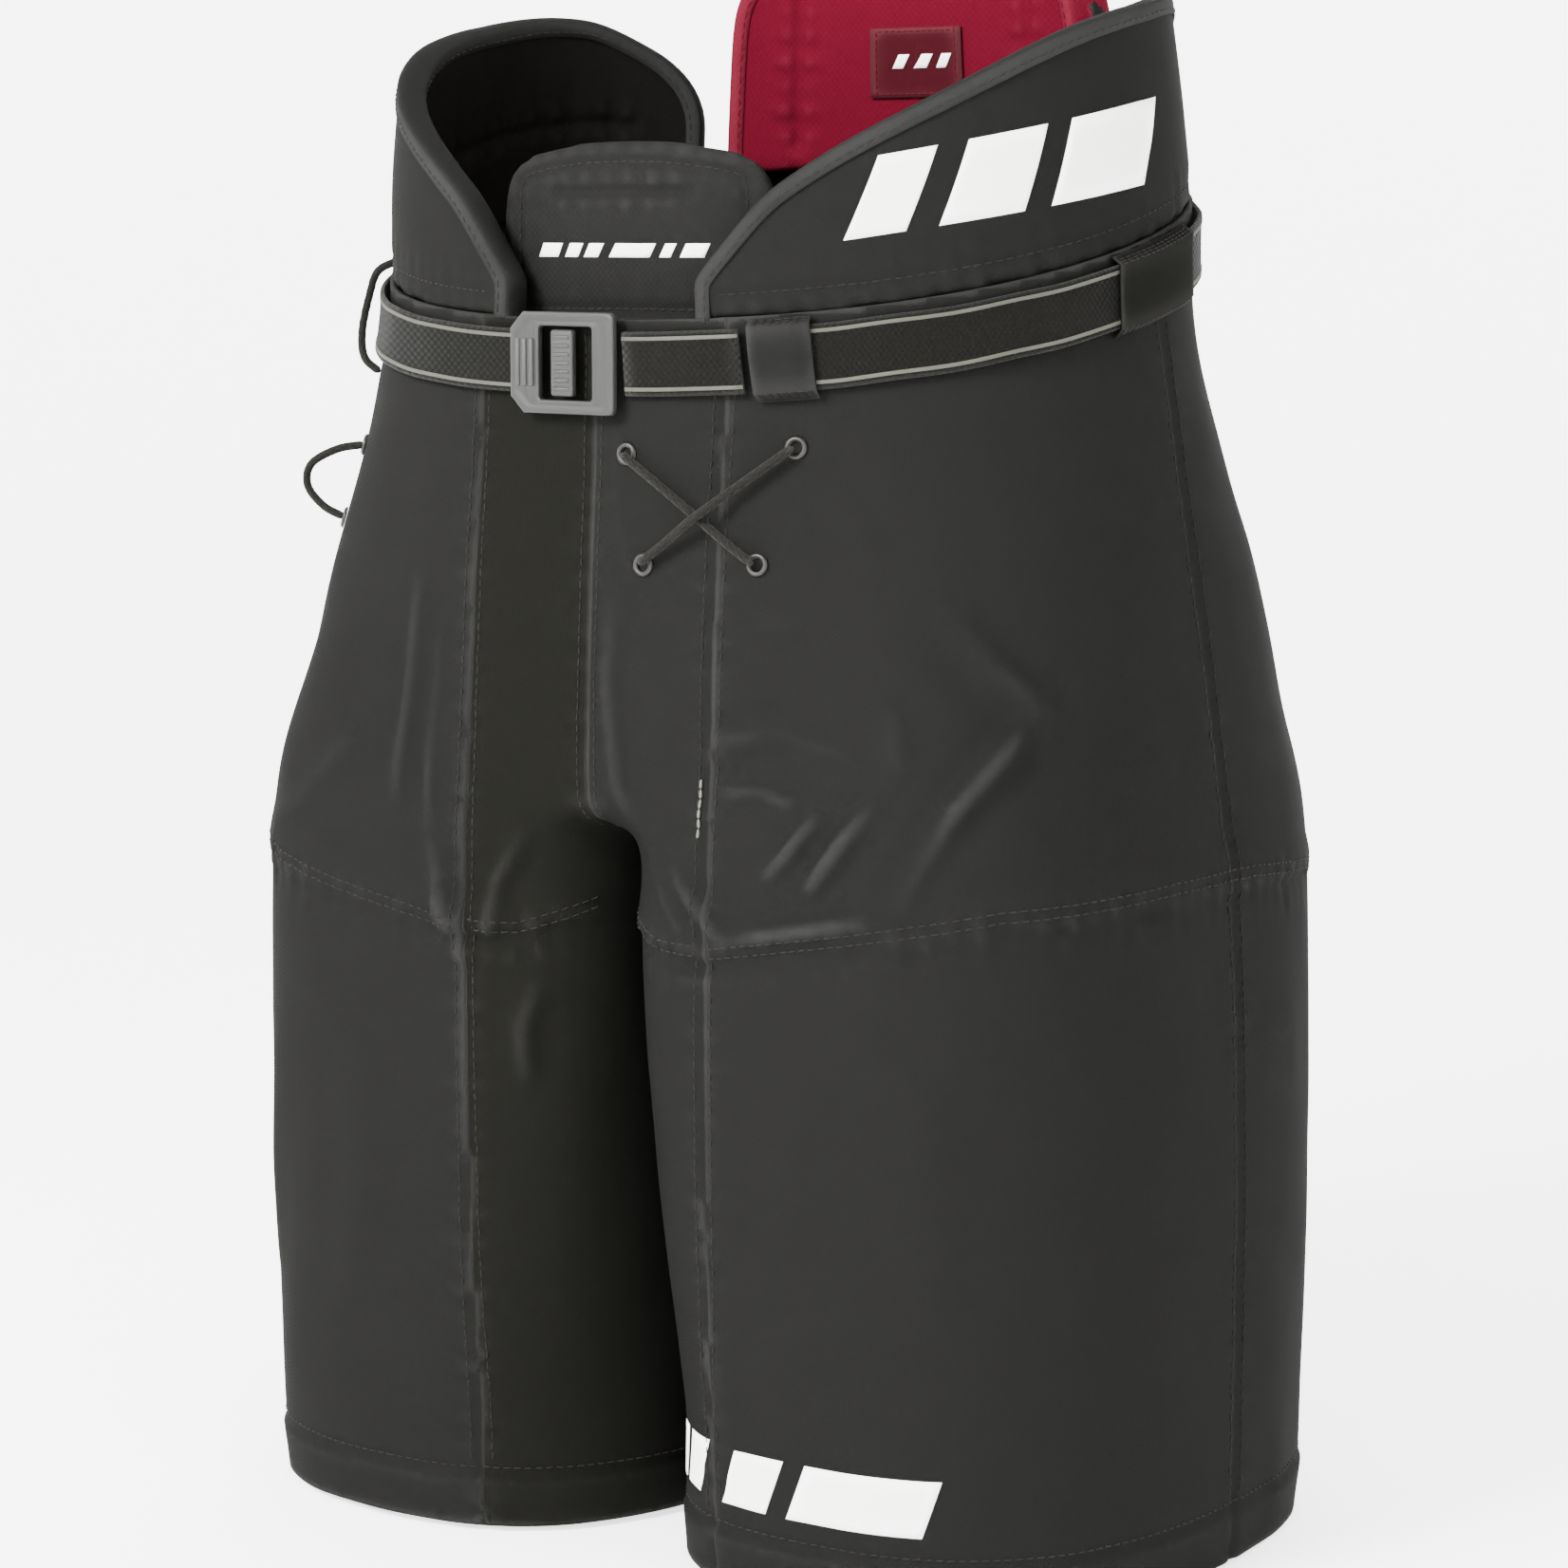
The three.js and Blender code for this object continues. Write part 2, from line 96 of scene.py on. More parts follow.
scene = bpy.context.scene
camera = bpy.data.objects.new("camera", bpy.data.cameras.new("camera"))
scene.collection.objects.link(camera)
camera.data.lens = LENS
camera.location = AIM + camera_back(AZIMUTH, ELEVATION) * DISTANCE
camera.rotation_mode = "QUATERNION"
camera.rotation_quaternion = (-camera_back(AZIMUTH, ELEVATION)).to_track_quat("-Z", "Y")
scene.camera = camera
print("camera at", [round(v, 3) for v in camera.location])

# %% Helpers for meshes


def new_mesh(name, points, faces, smooth=True):
    """A smooth mesh piece from points and faces."""
    mesh = bpy.data.meshes.new(name)
    mesh.from_pydata([tuple(p) for p in points], [], [tuple(f) for f in faces])
    mesh.update()
    mesh.polygons.foreach_set("use_smooth", [smooth] * len(mesh.polygons))
    piece = bpy.data.objects.new(name, mesh)
    scene.collection.objects.link(piece)
    return piece


def apply_all(piece):
    """Turns the piece's modifiers into plain mesh."""
    graph = bpy.context.evaluated_depsgraph_get()
    mesh = bpy.data.meshes.new_from_object(piece.evaluated_get(graph))
    piece.modifiers.clear()
    old = piece.data
    piece.data = mesh
    if old.users == 0:
        bpy.data.meshes.remove(old)
    return piece


def facing_out(piece):
    """Turn every face of a closed piece outwards."""
    mesh = bmesh.new()
    mesh.from_mesh(piece.data)
    bmesh.ops.recalc_face_normals(mesh, faces=mesh.faces)
    mesh.to_mesh(piece.data)
    mesh.free()


def points_of(piece):
    """The piece's points as rows of x, y, z."""
    flat = np.empty(len(piece.data.vertices) * 3)
    piece.data.vertices.foreach_get("co", flat)
    return flat.reshape(-1, 3)


def set_points(piece, points):
    """Moves the points of a piece to new places."""
    piece.data.vertices.foreach_set("co", points.reshape(-1))
    piece.data.update()


def normals_of(piece):
    """The piece's normals, one row for each point."""
    flat = np.empty(len(piece.data.vertices) * 3)
    piece.data.vertices.foreach_get("normal", flat)
    return flat.reshape(-1, 3)


# %% Floor and wall
FLOOR_RADIUS, BOWL_BEND, BOWL_HIGH, BOWL_STEPS = 3.4, 1.2, 3.2, 64
profile = [(0.02, 0.0), (1.0, 0.0)]
for i in range(11):
    turn = math.radians(90 * i / 10)
    profile.append((FLOOR_RADIUS - BOWL_BEND + BOWL_BEND * math.sin(turn),
                    BOWL_BEND - BOWL_BEND * math.cos(turn)))
profile.append((FLOOR_RADIUS, BOWL_HIGH))
bowl_points = []
for radius, height in profile:
    for i in range(BOWL_STEPS):
        turn = math.tau * i / BOWL_STEPS
        bowl_points.append((radius * math.cos(turn), radius * math.sin(turn), height - 0.0006))
bowl_faces = [tuple(range(BOWL_STEPS))]
for j in range(len(profile) - 1):
    for i in range(BOWL_STEPS):
        a, b, k = j * BOWL_STEPS, (j + 1) * BOWL_STEPS, (i + 1) % BOWL_STEPS
        bowl_faces.append((a + i, b + i, b + k, a + k))
backdrop = new_mesh("backdrop", bowl_points, bowl_faces)
paper = bpy.data.materials.new("paper_white")
paper.use_nodes = True
paper.node_tree.nodes["Principled BSDF"].inputs["Base Color"].default_value = (0.93, 0.93, 0.93, 1)
paper.node_tree.nodes["Principled BSDF"].inputs["Roughness"].default_value = 0.9
paper.node_tree.nodes["Principled BSDF"].inputs["Emission Color"].default_value = (1, 1, 1, 1)
paper.node_tree.nodes["Principled BSDF"].inputs["Emission Strength"].default_value = 2.0
backdrop.data.materials.append(paper)
backdrop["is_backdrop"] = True

# %% Lights
world = bpy.data.worlds.new("studio")
scene.world = world
world.use_nodes = True
world.node_tree.nodes["Background"].inputs["Color"].default_value = (1.0, 1.0, 1.0, 1)
world.node_tree.nodes["Background"].inputs["Strength"].default_value = 0.8


def soft_light(name, azimuth, elevation, distance, size, power):
    light = bpy.data.lights.new(name, "AREA")
    light.shape, light.size, light.energy = "DISK", size, power
    lamp = bpy.data.objects.new(name, light)
    scene.collection.objects.link(lamp)
    back = camera_back(azimuth, elevation)
    lamp.location = AIM + back * distance
    lamp.rotation_mode = "QUATERNION"
    lamp.rotation_quaternion = (-back).to_track_quat("-Z", "Y")
    return lamp


soft_light("key_light", -12, 34, 2.4, 0.9, 215)
soft_light("fill_light", 60, 55, 2.6, 1.8, 20)
soft_light("rim_light", 200, 50, 2.4, 1.2, 25)

# %% [markdown]
# ## Finishes
# Everything here is cloth, webbing or moulded plastic. The effects that several of them share,
# such as the weave, the fine grain and the wear, are node groups with their own values in each
# material. They work from the place on the object, so no unwrapping is needed and the scale
# stays true in metres.

# %% Node helpers


def node(tree, kind, **values):
    made = tree.nodes.new(kind)
    for name, value in values.items():
        setattr(made, name, value)
    return made


def feed(tree, target, value):
    """Links an output to a socket, or writes a plain value on it."""
    if isinstance(value, bpy.types.NodeSocket):
        tree.links.new(value, target)
    else:
        target.default_value = value


def maths(tree, operation, a, b=0.0, c=0.0):
    made = node(tree, "ShaderNodeMath", operation=operation)
    for socket, value in zip(made.inputs, (a, b, c)):
        feed(tree, socket, value)
    return made.outputs[0]


def mix_colour(tree, factor, a, b, blend="MIX"):
    made = node(tree, "ShaderNodeMix", data_type="RGBA", blend_type=blend)
    feed(tree, made.inputs["Factor"], factor)
    feed(tree, made.inputs["A"], a)
    feed(tree, made.inputs["B"], b)
    return made.outputs["Result"]


def new_group(name, inputs, outputs):
    """A node group with named sockets; returns the tree, its input node and its output node."""
    tree = bpy.data.node_groups.new(name, "ShaderNodeTree")
    for label, kind, default in inputs:
        socket = tree.interface.new_socket(name=label, in_out="INPUT", socket_type=kind)
        if default is not None:
            socket.default_value = default
    for label, kind in outputs:
        tree.interface.new_socket(name=label, in_out="OUTPUT", socket_type=kind)
    return tree, node(tree, "NodeGroupInput"), node(tree, "NodeGroupOutput")


def place_group(tree, group, **values):
    made = node(tree, "ShaderNodeGroup")
    made.node_tree = group
    for label, value in values.items():
        feed(tree, made.inputs[label.replace("_", " ")], value)
    return made


FLOAT, VECTOR = "NodeSocketFloat", "NodeSocketVector"


def rgb(code):
    """A web colour as the linear values that Blender works in."""
    out = []
    for i in (1, 3, 5):
        v = int(code[i:i + 2], 16) / 255
        out.append(v / 12.92 if v <= 0.04045 else ((v + 0.055) / 1.055) ** 2.4)
    return (*out, 1.0)


# %% Weave group: two sets of yarns that cross
weave, weave_in, weave_out = new_group(
    "weave", [("Vector", VECTOR, None), ("Yarn", FLOAT, 0.001), ("Fuzz", FLOAT, 0.3)],
    [("Height", FLOAT), ("Mask", FLOAT)],
)
split = node(weave, "ShaderNodeSeparateXYZ")
weave.links.new(weave_in.outputs["Vector"], split.inputs[0])
turn_rate = maths(weave, "DIVIDE", math.pi, weave_in.outputs["Yarn"])
round_way = maths(weave, "ADD", split.outputs["X"], split.outputs["Y"])
warp = maths(weave, "SINE", maths(weave, "MULTIPLY", round_way, turn_rate))
weft = maths(weave, "SINE", maths(weave, "MULTIPLY", split.outputs["Z"], turn_rate))
over = maths(weave, "MULTIPLY_ADD", maths(weave, "MULTIPLY", warp, weft), 0.5, 0.5)
fuzz_noise = node(weave, "ShaderNodeTexNoise", noise_dimensions="3D")
weave.links.new(weave_in.outputs["Vector"], fuzz_noise.inputs["Vector"])
fuzz_noise.inputs["Scale"].default_value = 1400
fuzz_noise.inputs["Detail"].default_value = 2
fuzzed = maths(weave, "MULTIPLY_ADD", maths(weave, "SUBTRACT", fuzz_noise.outputs["Fac"], 0.5),
               weave_in.outputs["Fuzz"], over)
weave.links.new(fuzzed, weave_out.inputs["Height"])
weave.links.new(over, weave_out.inputs["Mask"])

# %% Wear group: cloudy rubbing that shows more on raised places
wear, wear_in, wear_out = new_group(
    "wear", [("Vector", VECTOR, None), ("Scale", FLOAT, 9.0), ("Amount", FLOAT, 0.5)],
    [("Mask", FLOAT), ("Cloud", FLOAT)],
)
cloud = node(wear, "ShaderNodeTexNoise")
wear.links.new(wear_in.outputs["Vector"], cloud.inputs["Vector"])
wear.links.new(wear_in.outputs["Scale"], cloud.inputs["Scale"])
cloud.inputs["Detail"].default_value = 5
cloud.inputs["Roughness"].default_value = 0.6
shape = node(wear, "ShaderNodeNewGeometry")
raised = node(wear, "ShaderNodeMapRange", interpolation_type="SMOOTHSTEP")
feed(wear, raised.inputs["Value"], shape.outputs["Pointiness"])
raised.inputs["From Min"].default_value = 0.5
raised.inputs["From Max"].default_value = 0.58
worn = maths(wear, "MULTIPLY", maths(wear, "MULTIPLY", raised.outputs[0], cloud.outputs["Fac"]),
             wear_in.outputs["Amount"])
wear.links.new(worn, wear_out.inputs["Mask"])
wear.links.new(cloud.outputs["Fac"], wear_out.inputs["Cloud"])
print("groups made:", weave.name, wear.name)

# %% One recipe for every cloth


def cloth(name, colour, yarn, roughness, sheen=0.25, bump=0.25, contrast=0.35, light_colour=None, scale=9.0):
    """A woven cloth: yarns a set distance apart, a cloudy colour, and paler where it is rubbed."""
    made = bpy.data.materials.new(name)
    made.use_nodes = True
    tree = made.node_tree
    shader = tree.nodes["Principled BSDF"]
    spot = node(tree, "ShaderNodeTexCoord").outputs["Object"]
    yarns = place_group(tree, weave, Vector=spot, Yarn=yarn, Fuzz=0.5)
    rubbed = place_group(tree, wear, Vector=spot, Scale=scale, Amount=0.8)
    base = rgb(colour)
    dark = tuple(c * (1 - contrast) for c in base[:3]) + (1.0,)
    pale = rgb(light_colour) if light_colour else tuple(min(c * 1.9 + 0.01, 1) for c in base[:3]) + (1.0,)
    clouded = mix_colour(tree, maths(tree, "MULTIPLY", rubbed.outputs["Cloud"], 0.55), dark, base)
    woven = mix_colour(tree, maths(tree, "MULTIPLY_ADD", yarns.outputs["Mask"], 0.5, 0.5), dark,
                       mix_colour(tree, 0.55, clouded, base))
    final = mix_colour(tree, rubbed.outputs["Mask"], woven, pale)
    feed(tree, shader.inputs["Base Color"], final)
    feed(tree, shader.inputs["Roughness"],
         maths(tree, "MULTIPLY_ADD", rubbed.outputs["Cloud"], 0.14, roughness - 0.07))
    shader.inputs["Sheen Weight"].default_value = sheen
    shader.inputs["Sheen Roughness"].default_value = 0.45
    shader.inputs["Specular IOR Level"].default_value = 0.006
    relief_node = node(tree, "ShaderNodeBump")
    relief_node.inputs["Strength"].default_value = bump
    relief_node.inputs["Distance"].default_value = yarn * 0.35
    feed(tree, relief_node.inputs["Height"], yarns.outputs["Height"])
    feed(tree, shader.inputs["Normal"], relief_node.outputs["Normal"])
    return made


def moulded(name, colour, roughness, grain=900, bump=0.12):
    """Moulded plastic: a fine spark-eroded grain, and paler along rubbed edges."""
    made = bpy.data.materials.new(name)
    made.use_nodes = True
    tree = made.node_tree
    shader = tree.nodes["Principled BSDF"]
    spot = node(tree, "ShaderNodeTexCoord").outputs["Object"]
    rubbed = place_group(tree, wear, Vector=spot, Scale=60.0, Amount=1.0)
    base = rgb(colour)
    pale = tuple(min(c * 1.6 + 0.02, 1) for c in base[:3]) + (1.0,)
    dull = tuple(c * 0.8 for c in base[:3]) + (1.0,)
    tone = mix_colour(tree, rubbed.outputs["Cloud"], dull, base)
    feed(tree, shader.inputs["Base Color"], mix_colour(tree, rubbed.outputs["Mask"], tone, pale))
    shader.inputs["Specular IOR Level"].default_value = 0.3
    feed(tree, shader.inputs["Roughness"],
         maths(tree, "MULTIPLY_ADD", rubbed.outputs["Cloud"], 0.2, roughness - 0.1))
    speckle = node(tree, "ShaderNodeTexNoise")
    tree.links.new(spot, speckle.inputs["Vector"])
    speckle.inputs["Scale"].default_value = grain
    relief_node = node(tree, "ShaderNodeBump")
    relief_node.inputs["Strength"].default_value = bump
    relief_node.inputs["Distance"].default_value = 0.0003
    feed(tree, relief_node.inputs["Height"], speckle.outputs["Fac"])
    feed(tree, shader.inputs["Normal"], relief_node.outputs["Normal"])
    return made


finish = {
    "nylon": cloth("charcoal_nylon", "#131312", 0.0009, 0.72, sheen=0.0),
    "dark_nylon": cloth("dark_stretch_nylon", "#0e0e0c", 0.0007, 0.8, sheen=0.0, contrast=0.25),
    "dark_lining": cloth("black_lining", "#0d0c0b", 0.0012, 0.85, sheen=0.0),
    "grey_mesh": cloth("grey_brushed_lining", "#151514", 0.0014, 0.85, sheen=0.0),
    "red_lining": cloth("red_knit_lining", "#440816", 0.0016, 0.8, sheen=0.0, contrast=0.35),
    "label": cloth("woven_label", "#2c0a10", 0.0006, 0.7, sheen=0.0, contrast=0.2),
    "foam": moulded("closed_cell_foam", "#c9c6bd", 0.9, grain=500, bump=0.5),
    "guard_plastic": moulded("guard_plate", "#d8d7d2", 0.45),
    "buckle_plastic": moulded("grey_buckle_plastic", "#131311", 0.5),
    "webbing": cloth("belt_webbing", "#0f0f0d", 0.0016, 0.7, sheen=0.04, bump=0.6, contrast=0.45),
    "cord": cloth("braided_lace", "#151412", 0.0008, 0.8, sheen=0.05, bump=0.7, contrast=0.5),
    "eyelet_metal": moulded("dark_eyelet", "#1c1b19", 0.4),
    "thread": cloth("stitching_thread", "#1d1c1b", 0.0004, 0.7, sheen=0.04),
    "grey_thread": cloth("grey_edge_yarn", "#34342e", 0.0005, 0.75, sheen=0.04),
    "pale_thread": cloth("pale_tack_thread", "#5c5c55", 0.0005, 0.75, sheen=0.04),
    "red_thread": cloth("red_thread", "#4a0614", 0.0005, 0.75, sheen=0.04),
    "dull_buckle": moulded("dull_catch_plastic", "#121210", 0.5),
    "white_print": cloth("white_transfer", "#dddcd8", 0.0012, 0.6, sheen=0.02, bump=0.15, contrast=0.06),
}
finish["eyelet_metal"].node_tree.nodes["Principled BSDF"].inputs["Metallic"].default_value = 0.8


def dress(piece, slot, *more):
    """Gives a piece its finish: its materials are cleared and one is added for each word given."""
    piece.data.materials.clear()
    for word in (slot, *more):
        piece.data.materials.append(finish[word])
    return piece


for entry in frame["record"]["subparts"]:
    carried = nodes[entry["node"]]
    for slot in carried.material_slots:
        slot.material = finish[entry["material_slot"]]
print("finishes", len(finish))

# %% [markdown]
# ## The body under the cloth
# The shell is one skin that goes round the hips and down both legs. Its outline is a rounded
# box whose width, depth and squareness change with height, the same one that the hard parts
# were built on. The hips and the legs are made as three closed solids, joined by a voxel remesh
# and then smoothed, because that rounds the valley at the crotch as real cloth does.

# %% Outlines of the body
HIP_ROWS = np.array([
    # height, half width, front, back, squareness
    [0.260, 0.217, 0.138, 0.142, 3.4],
    [0.300, 0.212, 0.138, 0.143, 3.3],
    [0.350, 0.204, 0.137, 0.143, 3.1],
    [0.400, 0.196, 0.134, 0.140, 2.8],
    [0.450, 0.187, 0.131, 0.132, 2.4],
    [0.500, 0.179, 0.131, 0.126, 2.2],
    [0.560, 0.177, 0.130, 0.125, 2.2],
    [0.620, 0.169, 0.127, 0.122, 2.2],
    [0.680, 0.158, 0.122, 0.118, 2.2],
])
LEG_ROWS = np.array([
    # height, centre, outer half width, inner half width, depth, squareness
    [0.000, 0.104, 0.112, 0.100, 0.138, 2.5],
    [0.030, 0.104, 0.116, 0.102, 0.141, 2.5],
    [0.180, 0.104, 0.115, 0.102, 0.143, 2.6],
    [0.280, 0.104, 0.111, 0.102, 0.142, 2.7],
    [0.380, 0.104, 0.098, 0.102, 0.141, 2.8],
])
INNER_SQUARE = 1.7  # the thighs press together, so their inner sides are this much squarer high up
BELT_FRONT = Vector((0, -0.127, 0.485))
BELT_RISE = 0.25
LEG_CENTRE = 0.104


def row_at(rows, z):
    """A smooth curve through the rows of an outline."""
    z = min(max(z, rows[0][0]), rows[-1][0])
    i = 0
    while i < len(rows) - 2 and z > rows[i + 1][0]:
        i += 1
    low, high = rows[i], rows[i + 1]
    before, after = rows[max(i - 1, 0)], rows[min(i + 2, len(rows) - 1)]
    step = high[0] - low[0]
    t = (z - low[0]) / step
    low_slope = (high - before) / (high[0] - before[0]) * step
    high_slope = (after - low) / (after[0] - low[0]) * step
    rise = high - low
    return (low + t * (low_slope + t * (3 * rise - 2 * low_slope - high_slope
                                        + t * (low_slope + high_slope - 2 * rise))))[1:]


def power(value, squareness):
    return math.copysign(abs(value) ** (2 / squareness), value)


def hip_point(angle, z):
    half, front, back, squareness = row_at(HIP_ROWS, z)
    x = half * power(math.sin(math.radians(angle)), squareness)
    c = power(math.cos(math.radians(angle)), squareness)
    return Vector((x, -front * c if c > 0 else -back * c, z))


def leg_point(side, angle, z):
    centre, outer, inner, depth, squareness = row_at(LEG_ROWS, z)
    if math.sin(math.radians(angle)) < 0:
        squareness *= 1 + (INNER_SQUARE - 1) * min(max((z - 0.06) / 0.18, 0), 1)
    s = power(math.sin(math.radians(angle)), squareness)
    c = power(math.cos(math.radians(angle)), squareness)
    return Vector((side * (centre + (outer if s > 0 else inner) * s), -depth * c, z))


def moved_out(surface, angle, z, distance):
    """A point of the surface moved along its outward normal."""
    p = surface(angle, z)
    across_way = surface(angle + 1, z) - surface(angle - 1, z)
    up_way = surface(angle, z + 0.001) - surface(angle, z - 0.001)
    normal = across_way.cross(up_way).normalized()
    return p + normal * distance


def belt_z(y):
    return BELT_FRONT.z + BELT_RISE * (y - BELT_FRONT.y)


def hip_belt_z(angle):
    return belt_z(hip_point(angle, 0.515).y)


# %% Three closed solids and one skin
def ring_faces(rings, count, start=0, closed=False):
    """Faces between rings of points. The tube has a cap at each end, or comes back to its first ring."""
    faces = []
    for j in range(rings if closed else rings - 1):
        a, b = start + j * count, start + (j + 1) % rings * count
        for i in range(count):
            k = (i + 1) % count
            faces.append((a + i, a + k, b + k, b + i))
    if not closed:
        faces.append(tuple(range(start, start + count))[::-1])
        faces.append(tuple(start + (rings - 1) * count + i for i in range(count)))
    return faces


def lofted(name, rings):
    """A solid through a stack of rings."""
    points = [p for ring in rings for p in ring]
    return new_mesh(name, points, ring_faces(len(rings), len(rings[0])))


WALL = 0.0052  # the inner walls of the legs keep this far from the middle, or the remesh would join them


def body_solid(grow):
    """The hips and legs as one closed skin, grown by a distance (shrunk where it is negative)."""
    turns = 96
    rings = [[moved_out(hip_point, 360 * i / turns, z, grow) for i in range(turns)]
             for z in np.arange(0.302, 0.70, 0.008)]
    solids = [lofted("hip_solid", rings)]
    for side in (1, -1):
        rings = []
        for z in np.arange(-0.03, 0.372, 0.01):
            ring = []
            for i in range(turns):
                angle = 360 * i / turns
                sunk = 0.016 * min(max((z - 0.295) / 0.075, 0), 1) ** 1.5
                p = moved_out(lambda a, h: leg_point(1, a, h), angle, max(z, 0.002), grow - sunk)
                ring.append(Vector((side * max(p.x, WALL), p.y, z)))
            rings.append(ring if side > 0 else ring[::-1])
        solids.append(lofted("leg_solid", rings))
    for solid in solids:
        solid.select_set(True)
    bpy.context.view_layer.objects.active = solids[0]
    bpy.ops.object.join()
    return solids[0]


VOXEL = 0.0032
for o in bpy.context.selected_objects:
    o.select_set(False)
skin = body_solid(0.0)
skin.data.remesh_voxel_size = VOXEL
bpy.ops.object.voxel_remesh()
print("skin points", len(skin.data.vertices))

# %% [markdown]
# ## Rounding the crotch
# The remeshed skin has a hard crease where the legs meet the hips. A few rounds of averaging
# each point with its neighbours round it off, more between the legs than elsewhere.

# %% Smooth the skin


def edges_of(piece):
    """The pairs of points that the edges join."""
    flat = np.empty(len(piece.data.edges) * 2, np.int64)
    piece.data.edges.foreach_get("vertices", flat)
    return flat.reshape(-1, 2)


def smoothed(points, edges, strength, rounds):
    """Moves each point towards the mean of its neighbours; strength is one number per point."""
    count = np.bincount(edges.ravel(), minlength=len(points))[:, None]
    for _ in range(rounds):
        total = np.zeros_like(points)
        np.add.at(total, edges[:, 0], points[edges[:, 1]])
        np.add.at(total, edges[:, 1], points[edges[:, 0]])
        points = points + (total / count - points) * strength[:, None]
    return points


def bump(value, middle, width):
    return np.exp(-(((value - middle) / width) ** 2))


def ramp(value, low, high):
    t = np.clip((value - low) / (high - low), 0, 1)
    return t * t * (3 - 2 * t)


skin_points = points_of(skin)
near_crotch = bump(skin_points[:, 2], 0.335, 0.075)
skin_rounds = int(46 * (0.0032 / VOXEL) ** 2)
skin_points = smoothed(skin_points, edges_of(skin), 0.12 + 0.55 * near_crotch, skin_rounds)
set_points(skin, skin_points)
print("skin smoothed over", skin_rounds, "rounds")

# %% [markdown]
# ## Seams and folds
# Cloth is pulled in along every seam and stands up in soft folds where it is pressed together.
# Both are made by moving points along their normals: a narrow groove with small puckers beside
# it for a seam, and a ridge with a hollow on each side for a fold. Each is given by the places
# that it runs through, so the same function serves them all.

# %% Distance to a line through places


def along_line(points, places):
    """For each point: its distance to the line through the places, and how far along it is."""
    best = np.full(len(points), 1e9)
    where = np.zeros(len(points))
    done = 0.0
    for a, b in zip(places[:-1], places[1:]):
        a, b = np.array(a, float), np.array(b, float)
        length = np.linalg.norm(b - a)
        if length == 0:
            continue
        t = np.clip((points - a) @ (b - a) / length**2, 0, 1)
        d = np.linalg.norm(points - (a + t[:, None] * (b - a)), axis=1)
        closer = d < best
        best[closer] = d[closer]
        where[closer] = done + t[closer] * length
        done += length
    return best, where, done


def fold(points, places, width, height):
    """A soft ridge, fading out at both ends, with a shallow hollow on each side."""
    distance, where, length = along_line(points, places)
    r = (distance / width) ** 2
    fade = np.sin(np.pi * np.clip(where / length, 0, 1)) ** 0.7
    return height * fade * (1 - 0.9 * r) * np.exp(-r)


def seam_groove(distance, where, depth, width=0.0022):
    """A groove with puckers that come and go beside it."""
    pucker = 0.35 * np.sin(where * 2 * math.pi / 0.011) + 0.25 * np.sin(where * 2 * math.pi / 0.0173 + 1.7)
    return -depth * np.exp(-((distance / width) ** 2)) + depth * 0.5 * pucker * bump(distance, 0.006, 0.005)


